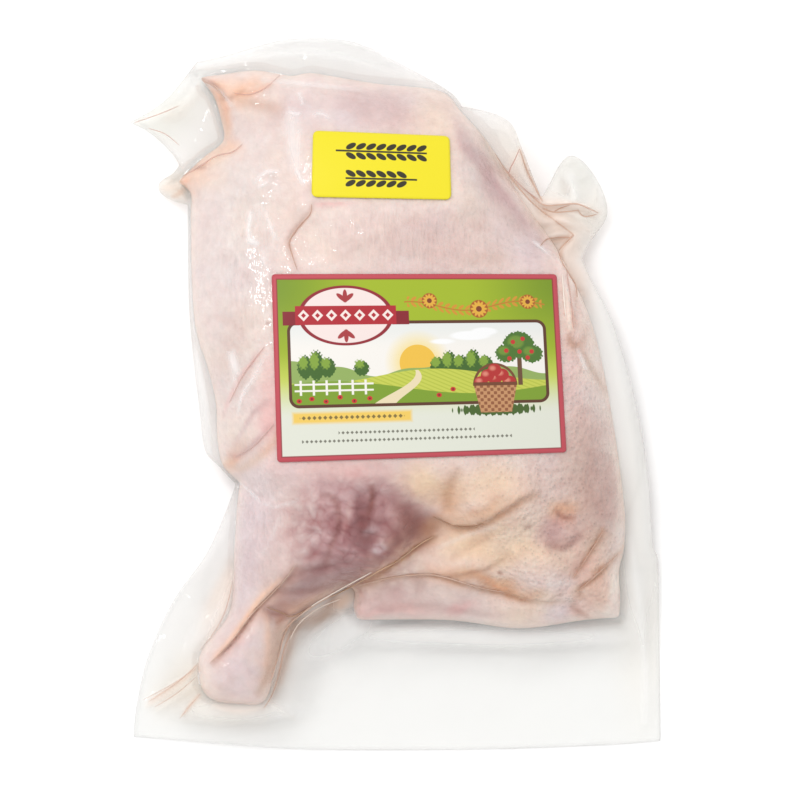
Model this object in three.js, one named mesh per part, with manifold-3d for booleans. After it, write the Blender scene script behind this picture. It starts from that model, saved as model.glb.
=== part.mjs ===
// Raw skin-on chicken leg quarters, vacuum packed in a clear pouch with two
// stickers. Millimetres, +Z up, the pack lying flat on z = 0 with its labelled
// side up. +Y runs from the drumstick's knob to the thigh end.
//
// The wrapped meat is an implicit body: a rounded edge all round a plan
// outline, a height map for its masses, and skin folds on top. The film that
// stands out round it is a thin slab that drops from the meat's widest line to
// the table and is trimmed to the pouch's outline.

import * as THREE from "three";
import { mergeVertices } from "three/addons/utils/BufferGeometryUtils.js";
import Module from "manifold-3d";

const wasm = await Module();
wasm.setup();

// ---------------------------------------------------------------- dimensions

const CELL = 5.4; // grid step of the meat body
const FILM_CELL = 7.5; // grid step of the flat film
const FILM_THICKNESS = 1.2; // two plies and the air between them
const TALLEST = 66; // above everything in the pack
const WIDEST_AT = 0.36; // height of the meat's widest line, as a share of its thickness
const UNDERCUT = 0.55; // how far the edge tucks in below, as a share of the edge radius
const DRAPE = 12; // distance over which the film drops from the meat to the table
const LABEL_THICKNESS = 0.6;
const LABEL_GAP = 0.35;
const LABEL_BLEND = 14; // distance over which the body leaves the label's smooth seat

// Plan outline of the meat, clockwise from the corner flap, in stretches that
// meet at corners. Each stretch is a smooth curve through its points.
const MEAT_OUTLINE = {
  thigh_end: [[-71, 112.5], [-63, 113.5], [-50, 115], [-37.5, 113], [-30.5, 114], [-18.5, 112],
    [-6, 110], [15.5, 107.5], [22.5, 100.5]],
  right_flank: [[22.5, 100.5], [32.5, 89], [46.5, 67], [58, 49], [69, 25.5], [75.5, -2],
    [80.5, -36], [81, -53], [79, -62.5], [79.5, -72], [79, -79.5]],
  cut_edge: [[79, -79.5], [66, -80.5], [43, -83.5], [18.5, -80.5], [-14, -80.5]],
  notch: [[-14, -80.5], [-16, -76], [-15.5, -70], [-18.5, -69], [-25.5, -73], [-37.5, -81.5]],
  drumstick: [[-37.5, -81.5], [-40.5, -88], [-43, -99.5], [-47, -109.5], [-57, -110],
    [-65.5, -108.5], [-70, -103], [-70.5, -93.5], [-67.5, -87.5], [-60.5, -78.5],
    [-58.5, -70], [-58, -55], [-57, -39], [-56, -31.5]],
  left_side: [[-56, -31.5], [-62, -25.5], [-64, -16], [-64.5, -3], [-67.5, 10], [-71.5, 22.5],
    [-73, 40], [-73.5, 63], [-73.5, 71], [-78.5, 75]],
  corner_flap: [[-78.5, 75], [-69, 84], [-62, 89.5], [-62.5, 96], [-65.5, 105.5], [-71, 112.5]],
};

// Plan outline of the pouch, clockwise from the tip of its top-left ear.
const FILM_OUTLINE = {
  ear: [[-95, 96], [-86.5, 100.5], [-79.5, 106.5], [-71, 117.5]],
  top: [[-71, 117.5], [-62, 119.5], [-42.5, 125], [-30.5, 126], [-19.5, 125.5], [-10.5, 123],
    [-2, 118.5], [17.5, 107.5], [23, 101.5]],
  first_lobe: [[23, 101.5], [28.5, 100.5], [35.5, 98.5], [40.5, 95], [43.5, 88], [47.5, 78], [51, 69]],
  second_lobe: [[51, 69], [54.5, 75.5], [57.5, 81], [61, 84.3], [65, 83], [69.5, 77.5],
    [73.5, 69.5], [74, 62], [67.5, 52.5], [65.5, 47.5]],
  right: [[65.5, 47.5], [69, 39.5], [75, 28], [80.5, 12], [85.5, -8], [89, -30], [90.5, -53],
    [92.5, -60], [93, -90], [93.5, -123]],
  bottom: [[93.5, -123], [73.5, -124.5], [29, -126], [-32.5, -126], [-75.5, -123], [-93.5, -121.5]],
  lower_left: [[-93.5, -121.5], [-92.5, -111.5], [-89.5, -97], [-84, -82.5], [-77.5, -70.5],
    [-68, -57.5], [-61.5, -44], [-57, -32]],
  left: [[-57, -32], [-63, -25.5], [-68, -19.5], [-70, -4], [-72, 13.5], [-73.5, 33], [-74, 67]],
  small_lobe: [[-74, 67], [-79.5, 68.5], [-84, 71.5], [-84, 75], [-79.5, 78], [-77, 81]],
  ear_side: [[-77, 81], [-79.5, 85], [-85, 90.5], [-90, 94], [-95, 96]],
};

// Thickness of the meat at named places: x, y, thickness, and the radius over
// which the edge rounds down there.
const MASSES = {
  corner_flap: [-64, 108.5, 14, 7],
  shoulder_left: [-51, 103, 26, 16],
  shoulder_mid: [-34, 102, 34, 26],
  shoulder_right: [-8, 100, 38, 30],
  shoulder_end: [10, 97, 37, 30],
  side_tip: [-75, 76, 11, 7],
  side_top: [-64, 71, 28, 20],
  column_top: [-48, 78, 40, 30],
  column_mid: [-48, 50, 44, 34],
  column_low: [-48, 19, 45, 34],
  knee: [-47, -12, 39, 26],
  knee_edge: [-58, -24, 26, 14],
  above_sticker: [-20, 82, 46, 36],
  sticker_right: [5, 82, 48, 38],
  crown_right: [25, 72, 46, 40],
  mound: [-4, 52, 54, 46],
  mound_right: [26, 48, 52, 46],
  flank_top: [46, 44, 44, 42],
  middle: [-6, 12, 55, 48],
  middle_right: [29, 12, 55, 48],
  flank_mid: [58, 10, 46, 44],
  lower_middle: [1, -16, 51, 42],
  lower_right: [36, -16, 51, 42],
  flank_low: [65, -16, 43, 38],
  calf_top: [-24, -30, 47, 32],
  calf: [-12, -50, 46, 30],
  calf_low: [-34, -58, 39, 25],
  ankle: [-46, -77, 27, 14],
  knob: [-56, -96, 26, 15],
  pale_mound: [37, -35, 47, 34],
  haunch: [68, -38, 40, 32],
  belly: [22, -58, 33, 22],
  belly_right: [53, -56, 36, 26],
  lower_corner: [72, -66, 28, 15],
  strip_left: [0, -76, 18, 8],
  strip_mid: [36, -77, 19, 8],
  strip_right: [68, -77, 20, 8],
};
const MASS_REACH = 12; // smoothing radius between the masses

// Skin folds: a groove or a ridge has the same fall on both sides; a lip is
// raised on the left of its direction and drops sharply on the right.
const FOLDS = [
  { name: "flap_valley", kind: "groove", rise: 1.2, reach: 3,
    route: [[-57, 103.5], [-48, 102], [-38.5, 99.5]] },
  { name: "tip_lip", kind: "lip", rise: 2, reach: 6,
    route: [[-54.5, 89], [-57, 86.5], [-64, 85.5], [-69, 82], [-75, 77.5]] },
  { name: "mound_lip", kind: "lip", rise: 2.2, reach: 9,
    route: [[-29.5, 68], [-29.5, 64.5], [-33.5, 59.5], [-37.5, 54], [-37, 50.5], [-34.5, 42.5]] },
  { name: "flank_edge", kind: "lip", rise: 1.4, reach: 5,
    route: [[46.5, 56], [36, 70], [27.5, 80.5], [20.5, 89]] },
  { name: "knee_lip", kind: "lip", rise: 2, reach: 5,
    route: [[-43, -10.5], [-48, -16], [-51.5, -19.5], [-56, -22.5], [-61, -21.5]] },
  { name: "knee_foot", kind: "groove", rise: 1.6, reach: 3,
    route: [[-61, -25.5], [-55, -26.5], [-46, -20], [-40, -12]] },
  { name: "calf_edge", kind: "lip", rise: 2.6, reach: 9,
    route: [[-18.5, -69.5], [-9.5, -64.5], [-4, -61.5], [1, -57.5], [6.5, -54], [11.5, -49.5],
      [14, -44]] },
  { name: "shin_lip", kind: "lip", rise: 3, reach: 6,
    route: [[-66, -95.5], [-62, -91.5], [-57, -86], [-51, -77.5], [-47.5, -73.5], [-40, -66],
      [-35, -59.5]] },
  { name: "ankle_line", kind: "lip", rise: 2, reach: 3.5,
    route: [[-22, -70.5], [-29, -74], [-36, -78.5], [-43, -81]] },
  { name: "pale_valley", kind: "groove", rise: 1.8, reach: 3,
    route: [[22, -25], [19.5, -30], [17.5, -35.5], [17.5, -42]] },
  { name: "belly_crease", kind: "lip", rise: 2.4, reach: 8,
    route: [[12.5, -42.5], [19.5, -46], [24, -46.5], [29, -45.5], [38, -40.5], [45, -36],
      [51, -34.5]] },
  { name: "strip_lip", kind: "lip", rise: 2.4, reach: 6,
    route: [[-15, -68], [-4, -65], [9.5, -63.5], [17, -64.5], [28.5, -68], [38, -70],
      [47, -72.5], [64.5, -73]] },
  { name: "corner_lip", kind: "lip", rise: 2.2, reach: 4,
    route: [[65, -73], [63.5, -68.5], [68, -65.5], [71.5, -62.5], [78, -56], [82, -52]] },
  { name: "haunch_fold", kind: "groove", rise: 1.6, reach: 3,
    route: [[73, -47], [71, -51], [67.5, -56.5], [62, -65]] },
  { name: "right_crease", kind: "lip", rise: 2.4, reach: 5,
    route: [[74.5, -1], [71.5, 3], [68, 8.5], [64, 15], [59, 20]] },
];

// Places where the loose film stands up off the table: x, y, lift, radius.
const FILM_LIFTS = {
  ear: [-86, 98, 8, 12],
  first_lobe: [40, 90, 14, 12],
  second_lobe: [68, 72, 16, 12],
};

// Stickers: plan corners from the top left, clockwise, corner radius, and the
// smooth surface they lie on (height at its middle, slope and curvature radii).
const LABELS = {
  label_picture: {
    corners: [[-44, 42], [56, 42], [59.5, -20.5], [-42, -24]], round: 1.2, middle: [5, 8],
    height: 54.5, slope: [-0.01, 0.03], bend: [135, 300], color: 0xd9dfb0,
  },
  label_yellow: {
    corners: [[-29.5, 92.5], [18.5, 90.5], [19, 68], [-30, 69]], round: 2, middle: [-5.5, 80],
    height: 46.6, slope: [0.04, -0.34], bend: [170, 90], color: 0xf2e41e,
  },
};

const MEAT_COLOR = 0xe3c5bb;

// ------------------------------------------------------------ plan functions

function sampleOutline(stretches, perSpan) {
  const points = [];
  for (const stretch of Object.values(stretches)) {
    const curve = new THREE.SplineCurve(stretch.map(([x, y]) => new THREE.Vector2(x, y)));
    const samples = curve.getPoints((stretch.length - 1) * perSpan);
    points.push(...samples.slice(0, -1));
  }
  return points;
}

function segmentGap(x, y, a, b) {
  const dx = b.x - a.x;
  const dy = b.y - a.y;
  const along = THREE.MathUtils.clamp(((x - a.x) * dx + (y - a.y) * dy) / (dx * dx + dy * dy), 0, 1);
  const ox = x - a.x - along * dx;
  const oy = y - a.y - along * dy;
  return { gap: Math.hypot(ox, oy), along, side: Math.sign(dx * oy - dy * ox) };
}

// Distance to the outline, positive inside it.
function depthInside(x, y, outline) {
  let nearest = Infinity;
  let inside = false;
  for (let i = 0; i < outline.length; i += 1) {
    const a = outline[i];
    const b = outline[(i + 1) % outline.length];
    nearest = Math.min(nearest, segmentGap(x, y, a, b).gap);
    if (a.y > y !== b.y > y && x < a.x + ((y - a.y) * (b.x - a.x)) / (b.y - a.y)) {
      inside = !inside;
    }
  }
  return inside ? nearest : -nearest;
}

// Thickness and edge radius at a place, blended from the masses near it.
function plumpness(x, y) {
  let weights = 0;
  let thickness = 0;
  let edge = 0;
  for (const [mx, my, massThickness, massEdge] of Object.values(MASSES)) {
    const weight = ((x - mx) ** 2 + (y - my) ** 2 + MASS_REACH ** 2) ** -2.5;
    weights += weight;
    thickness += weight * massThickness;
    edge += weight * massEdge;
  }
  return { thickness: thickness / weights, edge: edge / weights };
}

const foldRoutes = FOLDS.map((fold) => {
  const curve = new THREE.SplineCurve(fold.route.map(([x, y]) => new THREE.Vector2(x, y)));
  return { ...fold, line: curve.getPoints((fold.route.length - 1) * 5) };
});

// Height that the folds add at a place.
function foldRelief(x, y) {
  let relief = 0;
  for (const { kind, rise, reach, line } of foldRoutes) {
    let best = { gap: Infinity, side: 1, place: 0 };
    for (let i = 0; i + 1 < line.length; i += 1) {
      const { gap, along, side } = segmentGap(x, y, line[i], line[i + 1]);
      if (gap < best.gap) {
        best = { gap, side, place: (i + along) / (line.length - 1) };
      }
    }
    if (best.gap > 3 * reach) {
      continue;
    }
    const taper = Math.sqrt(Math.max(0, Math.sin(Math.PI * best.place)));
    if (kind === "lip") {
      const fall = best.side > 0 ? reach : reach * 0.25;
      const raised = best.side > 0 ? 0.5 : -0.5;
      relief += raised * rise * taper * Math.exp(-best.gap / fall);
    } else {
      const sign = kind === "ridge" ? 1 : -1;
      relief += sign * rise * taper * Math.exp(-((best.gap / reach) ** 2));
    }
  }
  return relief;
}

// ------------------------------------------------------------------- labels

function labelSurface(label, x, y) {
  const dx = x - label.middle[0];
  const dy = y - label.middle[1];
  const tilt = label.slope[0] * dx + label.slope[1] * dy;
  return label.height + tilt - dx ** 2 / (2 * label.bend[0]) - dy ** 2 / (2 * label.bend[1]);
}

// The label's outline with its rounded corners, as plan points.
function labelOutline(label) {
  const corners = label.corners.map(([x, y]) => new THREE.Vector2(x, y));
  const points = [];
  corners.forEach((corner, i) => {
    const before = corners[(i + corners.length - 1) % corners.length].clone().sub(corner).normalize();
    const after = corners[(i + 1) % corners.length].clone().sub(corner).normalize();
    const start = corner.clone().addScaledVector(before, label.round);
    const end = corner.clone().addScaledVector(after, label.round);
    const arc = new THREE.QuadraticBezierCurve(start, corner, end);
    points.push(...arc.getPoints(3));
  });
  return points;
}

const labelSeats = Object.values(LABELS).map((label) => ({ label, outline: labelOutline(label) }));

// The body's surface is drawn to the smooth seat that each label needs.
function seatLabels(x, y, surface) {
  let height = surface;
  for (const { label, outline } of labelSeats) {
    const outside = Math.max(0, -depthInside(x, y, outline) - CELL);
    if (outside < LABEL_BLEND) {
      const share = THREE.MathUtils.smoothstep(1 - outside / LABEL_BLEND, 0, 1);
      height += (labelSurface(label, x, y) - height) * share;
    }
  }
  return height;
}

// --------------------------------------------------------------- meat body

const meatOutline = sampleOutline(MEAT_OUTLINE, 3);
const filmOutline = sampleOutline(FILM_OUTLINE, 2);

// What one vertical line through the meat needs: its depth inside the outline,
// its top before the edge rounds it down, its widest height and edge radius.
function column(x, y) {
  const depth = depthInside(x, y, meatOutline);
  const { thickness, edge } = plumpness(x, y);
  const waist = WIDEST_AT * thickness;
  const across = Math.max(0, (edge - Math.max(depth, 0)) / edge);
  const rounding = Math.sqrt(Math.max(0.05, 1 - across ** 2));
  const folds = foldRelief(x, y) * THREE.MathUtils.smoothstep(depth, 0, 7);
  const surface = waist + (thickness + folds - waist) * rounding;
  const top = waist + (seatLabels(x, y, surface) - waist) / rounding;
  return { depth, top, edge, waist };
}

// Signed distance, roughly: negative inside the meat.
function meatField({ depth, top, edge, waist }, z) {
  const upper = z >= waist;
  const reach = upper ? edge : edge * UNDERCUT;
  const half = upper ? top - waist : waist;
  const across = Math.max(0, (reach - depth) / reach);
  const up = (z - waist) / half;
  return (Math.hypot(across, up) - 1) * Math.min(reach, half);
}

// Closed surface of a field by surface nets: one point in each cell that the
// surface crosses, and one quad across each grid edge that it crosses.
function surfaceNet(low, high, cell) {
  const size = high.map((value, axis) => Math.ceil((value - low[axis]) / cell) + 1);
  const at = (i, j, k) => (k * size[1] + j) * size[0] + i;
  const values = new Float64Array(size[0] * size[1] * size[2]);
  for (let j = 0; j < size[1]; j += 1) {
    for (let i = 0; i < size[0]; i += 1) {
      const line = column(low[0] + i * cell, low[1] + j * cell);
      for (let k = 0; k < size[2]; k += 1) {
        values[at(i, j, k)] = meatField(line, low[2] + k * cell);
      }
    }
  }

  const cellPoint = new Int32Array(values.length).fill(-1);
  const positions = [];
  const corner = (n) => [n & 1, (n >> 1) & 1, (n >> 2) & 1];
  for (let k = 0; k + 1 < size[2]; k += 1) {
    for (let j = 0; j + 1 < size[1]; j += 1) {
      for (let i = 0; i + 1 < size[0]; i += 1) {
        const sum = [0, 0, 0];
        let crossings = 0;
        for (let a = 0; a < 8; a += 1) {
          for (const bit of [1, 2, 4]) {
            const b = a | bit;
            if (a === b) {
              continue;
            }
            const [ax, ay, az] = corner(a);
            const [bx, by, bz] = corner(b);
            const va = values[at(i + ax, j + ay, k + az)];
            const vb = values[at(i + bx, j + by, k + bz)];
            if (va < 0 !== vb < 0) {
              const t = va / (va - vb);
              sum[0] += ax + t * (bx - ax);
              sum[1] += ay + t * (by - ay);
              sum[2] += az + t * (bz - az);
              crossings += 1;
            }
          }
        }
        if (crossings > 0) {
          cellPoint[at(i, j, k)] = positions.length / 3;
          positions.push(
            low[0] + (i + sum[0] / crossings) * cell,
            low[1] + (j + sum[1] / crossings) * cell,
            low[2] + (k + sum[2] / crossings) * cell,
          );
        }
      }
    }
  }

  const triangles = [];
  const step = [1, size[0], size[0] * size[1]];
  for (let k = 1; k + 1 < size[2]; k += 1) {
    for (let j = 1; j + 1 < size[1]; j += 1) {
      for (let i = 1; i + 1 < size[0]; i += 1) {
        const here = at(i, j, k);
        for (let axis = 0; axis < 3; axis += 1) {
          const inside = values[here] < 0;
          if (inside === values[here + step[axis]] < 0) {
            continue;
          }
          const u = step[(axis + 1) % 3];
          const v = step[(axis + 2) % 3];
          const quad = [here, here - u, here - u - v, here - v].map((n) => cellPoint[n]);
          if (!inside) {
            quad.reverse();
          }
          triangles.push(quad[0], quad[1], quad[2], quad[0], quad[2], quad[3]);
        }
      }
    }
  }
  return geometryFrom(positions, triangles);
}

// ------------------------------------------------------------ mesh helpers

function geometryFrom(positions, triangles) {
  const geometry = new THREE.BufferGeometry();
  geometry.setAttribute("position", new THREE.Float32BufferAttribute(positions, 3));
  geometry.setIndex(Array.from(triangles));
  return geometry;
}

function solidOf(geometry) {
  const bare = geometry.clone();
  bare.deleteAttribute("normal");
  bare.deleteAttribute("uv");
  const merged = mergeVertices(bare, 1e-5);
  const vertProperties = new Float32Array(merged.attributes.position.array);
  const triVerts = new Uint32Array(merged.index.array);
  return new wasm.Manifold(new wasm.Mesh({ numProp: 3, vertProperties, triVerts }));
}

function geometryOf(solid) {
  const mesh = solid.getMesh();
  return geometryFrom(mesh.vertProperties, mesh.triVerts);
}

// A slab over a rectangle whose bottom and top follow two height functions.
function slab(low, high, cell, bottomAt, topAt) {
  const columns = Math.ceil((high[0] - low[0]) / cell);
  const rows = Math.ceil((high[1] - low[1]) / cell);
  const positions = [];
  for (const heightAt of [bottomAt, topAt]) {
    for (let j = 0; j <= rows; j += 1) {
      for (let i = 0; i <= columns; i += 1) {
        const x = low[0] + ((high[0] - low[0]) * i) / columns;
        const y = low[1] + ((high[1] - low[1]) * j) / rows;
        positions.push(x, y, heightAt(x, y));
      }
    }
  }
  const layer = (columns + 1) * (rows + 1);
  const at = (i, j) => j * (columns + 1) + i;
  const triangles = [];
  const quad = (a, b, c, d) => triangles.push(a, b, c, a, c, d);
  for (let j = 0; j < rows; j += 1) {
    for (let i = 0; i < columns; i += 1) {
      quad(at(i, j), at(i, j + 1), at(i + 1, j + 1), at(i + 1, j));
      quad(layer + at(i, j), layer + at(i + 1, j), layer + at(i + 1, j + 1), layer + at(i, j + 1));
    }
  }
  for (let i = 0; i < columns; i += 1) {
    quad(at(i, 0), at(i + 1, 0), layer + at(i + 1, 0), layer + at(i, 0));
    quad(at(i + 1, rows), at(i, rows), layer + at(i, rows), layer + at(i + 1, rows));
  }
  for (let j = 0; j < rows; j += 1) {
    quad(at(0, j + 1), at(0, j), layer + at(0, j), layer + at(0, j + 1));
    quad(at(columns, j), at(columns, j + 1), layer + at(columns, j + 1), layer + at(columns, j));
  }
  return geometryFrom(positions, triangles);
}

// An upright prism over a plan outline, tall enough to trim anything here.
function prism(outline) {
  const shape = new THREE.Shape(outline);
  const geometry = new THREE.ExtrudeGeometry(shape, { depth: 120, bevelEnabled: false });
  geometry.translate(0, 0, -20);
  return geometry;
}

function bounds(points) {
  const box = new THREE.Box2().setFromPoints(points);
  return { low: [box.min.x, box.min.y], high: [box.max.x, box.max.y] };
}

// -------------------------------------------------------------- sub-parts

// Middle height of the loose film: at the meat's widest line beside the meat,
// down on the table farther out, and up where a lobe stands.
function filmHeight(x, y) {
  const outside = Math.max(0, -depthInside(x, y, meatOutline));
  const waist = WIDEST_AT * plumpness(x, y).thickness;
  let height = waist * Math.exp(-((outside / DRAPE) ** 2));
  for (const [lx, ly, lift, radius] of Object.values(FILM_LIFTS)) {
    height += lift * Math.exp(-((x - lx) ** 2 + (y - ly) ** 2) / radius ** 2);
  }
  return height;
}

function makeBag() {
  const { low, high } = bounds(meatOutline);
  const margin = 1.5 * CELL;
  const meat = surfaceNet(
    [low[0] - margin, low[1] - margin, -margin],
    [high[0] + margin, high[1] + margin, TALLEST],
    CELL,
  );

  const film = bounds(filmOutline);
  const sheet = slab(
    film.low.map((value) => value - 2),
    film.high.map((value) => value + 2),
    FILM_CELL,
    (x, y) => filmHeight(x, y),
    (x, y) => filmHeight(x, y) + FILM_THICKNESS,
  );
  const flange = solidOf(sheet).intersect(solidOf(prism(filmOutline)));
  return geometryOf(solidOf(meat).add(flange));
}

function makeLabel(label) {
  const outline = labelOutline(label);
  const { low, high } = bounds(outline);
  const sheet = slab(
    low.map((value) => value - 2),
    high.map((value) => value + 2),
    8,
    (x, y) => labelSurface(label, x, y) + LABEL_GAP,
    (x, y) => labelSurface(label, x, y) + LABEL_GAP + LABEL_THICKNESS,
  );
  return geometryOf(solidOf(sheet).intersect(solidOf(prism(outline))));
}

// ----------------------------------------------------------------- assembly

const pack = new THREE.Group();

function addPiece(name, geometry, look) {
  const mesh = new THREE.Mesh(geometry, new THREE.MeshStandardMaterial(look));
  mesh.name = name;
  pack.add(mesh);
}

addPiece("bag", makeBag(), { color: MEAT_COLOR, roughness: 0.2, metalness: 0 });
for (const [name, label] of Object.entries(LABELS)) {
  addPiece(name, makeLabel(label), { color: label.color, roughness: 0.45, metalness: 0 });
}

// The origin is under the middle of the pouch.
const plan = bounds(filmOutline);
pack.position.set(-(plan.low[0] + plan.high[0]) / 2, -(plan.low[1] + plan.high[1]) / 2, 0);

export default pack;
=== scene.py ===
"""Looks for a clear vacuum pouch of raw skin-on chicken leg quarters with two stickers.

The plan frame of the tables below is in millimetres, +Y towards the thigh end and +X to the right
of the stickers; `to_metres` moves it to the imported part's frame. The meat is an implicit body from
its outline, its masses and its folds. The film is a tight copy of it, a skirt of loose film and
hair-thin pleats pinched in both.
"""

import itertools
import math

import bpy
import numpy as np
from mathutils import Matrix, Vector
from mathutils.bvhtree import BVHTree


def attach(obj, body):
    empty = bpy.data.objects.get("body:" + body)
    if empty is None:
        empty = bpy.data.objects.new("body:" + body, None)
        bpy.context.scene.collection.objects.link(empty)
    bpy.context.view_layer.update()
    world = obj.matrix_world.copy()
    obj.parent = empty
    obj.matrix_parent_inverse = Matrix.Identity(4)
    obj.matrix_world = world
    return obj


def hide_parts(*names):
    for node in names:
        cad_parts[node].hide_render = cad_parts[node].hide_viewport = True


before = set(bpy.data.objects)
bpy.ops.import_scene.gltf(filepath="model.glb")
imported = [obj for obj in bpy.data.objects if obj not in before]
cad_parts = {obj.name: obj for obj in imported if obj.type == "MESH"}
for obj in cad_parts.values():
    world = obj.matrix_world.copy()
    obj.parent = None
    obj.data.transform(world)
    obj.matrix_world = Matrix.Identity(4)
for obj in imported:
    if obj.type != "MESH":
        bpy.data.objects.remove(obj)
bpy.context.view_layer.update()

# ------------------------------------------------ sizes in millimetres, with shares and levels

MEAT_STEP = 0.95
FILM_STEP = 0.95
SKIRT_STEP = 0.9
RELAX = 0.5
WIDEST_AT = 0.36  # height of the body's widest line, as a share of its thickness
UNDERCUT = 0.55  # edge radius below that line, as a share of the one above it
MASS_REACH = 12.0
FOLD_FADE = 7.0  # folds fade out this near to the body's outline
FIELD_TOP = 62.0
MEAT_FLOOR = 0.6
FILM_GAP = 0.45
DRAPE = 12.0  # reach over which the loose film falls from the body to the table
PLY_GAP = 0.35
SKIRT_OVERLAP = 3.0  # the loose film reaches this far inside the body's outline
PLEAT_SIDES = 6
PLEAT_LIFT = 0.1
RAY_START = 80.0
LABEL_LIFT = 0.35
LABEL_THICKNESS = 0.25
LABEL_MARGIN = 2.0
LABEL_BLEND = 14.0
LABEL_CELL = 1.0
PRINT_UNIT = 100.0  # millimetres of print in one unit of its stored place
NOISE_CELLS = 256
NOISE_START = 100.0
STUDIO_LEVEL = 1.07  # what the studio's light makes of a surface's own colour
REFLECTED = 0.05
STICKER_LEVEL = 1.3

MEAT_OUTLINE = {
    "thigh_end": [(-71, 112.5), (-63, 113.5), (-50, 115), (-37.5, 113), (-30.5, 114), (-18.5, 112),
                  (-6, 110), (15.5, 107.5), (22.5, 100.5)],
    "right_flank": [(22.5, 100.5), (32.5, 89), (46.5, 67), (58, 49), (69, 25.5), (75.5, -2),
                    (80.5, -36), (81, -53), (79, -62.5), (79.5, -72), (79, -79.5)],
    "cut_edge": [(79, -79.5), (66, -80.5), (43, -83.5), (18.5, -80.5), (-14, -80.5)],
    "notch": [(-14, -80.5), (-16, -76), (-15.5, -70), (-18.5, -69), (-25.5, -73), (-37.5, -81.5)],
    "drumstick": [(-37.5, -81.5), (-40.5, -88), (-43, -99.5), (-47, -109.5), (-57, -110),
                  (-65.5, -108.5), (-70, -103), (-70.5, -93.5), (-67.5, -87.5), (-60.5, -78.5),
                  (-58.5, -70), (-58, -55), (-57, -39), (-56, -31.5)],
    "left_side": [(-56, -31.5), (-62, -25.5), (-64, -16), (-64.5, -3), (-67.5, 10), (-71.5, 22.5),
                  (-73, 40), (-73.5, 63), (-73.5, 71), (-78.5, 75)],
    "corner_flap": [(-78.5, 75), (-69, 84), (-62, 89.5), (-62.5, 96), (-65.5, 105.5), (-71, 112.5)],
}

FILM_OUTLINE = {
    "ear": [(-95, 96), (-86.5, 100.5), (-79.5, 106.5), (-71, 117.5)],
    "top": [(-71, 117.5), (-62, 119.5), (-42.5, 125), (-30.5, 126), (-19.5, 125.5), (-10.5, 123),
            (-2, 118.5), (17.5, 107.5), (23, 101.5)],
    "first_lobe": [(23, 101.5), (28.5, 100.5), (35.5, 98.5), (40.5, 95), (43.5, 88), (47.5, 78), (51, 69)],
    "second_lobe": [(51, 69), (54.5, 75.5), (57.5, 81), (61, 84.3), (65, 83), (69.5, 77.5),
                    (73.5, 69.5), (74, 62), (67.5, 52.5), (65.5, 47.5)],
    "right": [(65.5, 47.5), (69, 39.5), (75, 28), (80.5, 12), (85.5, -8), (89, -30), (90.5, -53),
              (92.5, -60), (93, -90), (93.5, -123)],
    "bottom": [(93.5, -123), (73.5, -124.5), (29, -126), (-32.5, -126), (-75.5, -123), (-93.5, -121.5)],
    "lower_left": [(-93.5, -121.5), (-92.5, -111.5), (-89.5, -97), (-84, -82.5), (-77.5, -70.5),
                   (-68, -57.5), (-61.5, -44), (-57, -32)],
    "left": [(-57, -32), (-63, -25.5), (-68, -19.5), (-70, -4), (-72, 13.5), (-73.5, 33), (-74, 67)],
    "small_lobe": [(-74, 67), (-79.5, 68.5), (-84, 71.5), (-84, 75), (-79.5, 78), (-77, 81)],
    "ear_side": [(-77, 81), (-79.5, 85), (-85, 90.5), (-90, 94), (-95, 96)],
}

# x, y, thickness, and the radius over which the edge rounds down there.
MASSES = {
    "corner_flap": (-64, 108.5, 14, 7),
    "shoulder_left": (-51, 103, 26, 16),
    "shoulder_mid": (-34, 102, 34, 26),
    "shoulder_right": (-8, 100, 38, 30),
    "shoulder_end": (10, 97, 37, 30),
    "side_tip": (-75, 76, 11, 7),
    "side_top": (-64, 71, 28, 20),
    "column_top": (-48, 78, 40, 30),
    "column_mid": (-48, 50, 44, 34),
    "column_low": (-48, 19, 45, 34),
    "knee": (-47, -12, 39, 26),
    "knee_edge": (-58, -24, 26, 14),
    "above_sticker": (-20, 82, 46, 36),
    "sticker_right": (5, 82, 48, 38),
    "crown_right": (25, 72, 46, 40),
    "mound": (-4, 52, 54, 46),
    "mound_right": (26, 48, 52, 46),
    "flank_top": (46, 44, 44, 42),
    "middle": (-6, 12, 55, 48),
    "middle_right": (29, 12, 55, 48),
    "flank_mid": (58, 10, 46, 44),
    "lower_middle": (1, -16, 51, 42),
    "lower_right": (36, -16, 51, 42),
    "flank_low": (65, -16, 43, 38),
    "calf_top": (-24, -30, 47, 32),
    "calf": (-12, -50, 46, 30),
    "calf_low": (-34, -58, 39, 25),
    "ankle": (-46, -77, 27, 14),
    "knob": (-56, -96, 26, 15),
    "pale_mound": (37, -35, 47, 34),
    "haunch": (68, -38, 40, 32),
    "belly": (22, -58, 33, 22),
    "belly_right": (53, -56, 36, 26),
    "lower_corner": (72, -66, 28, 15),
    "strip_left": (0, -76, 18, 8),
    "strip_mid": (36, -77, 19, 8),
    "strip_right": (68, -77, 20, 8),
}

# x, y, half length and half width of the calf's grainy muscle
CALF = (-15, -49, 23, 19)

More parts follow.
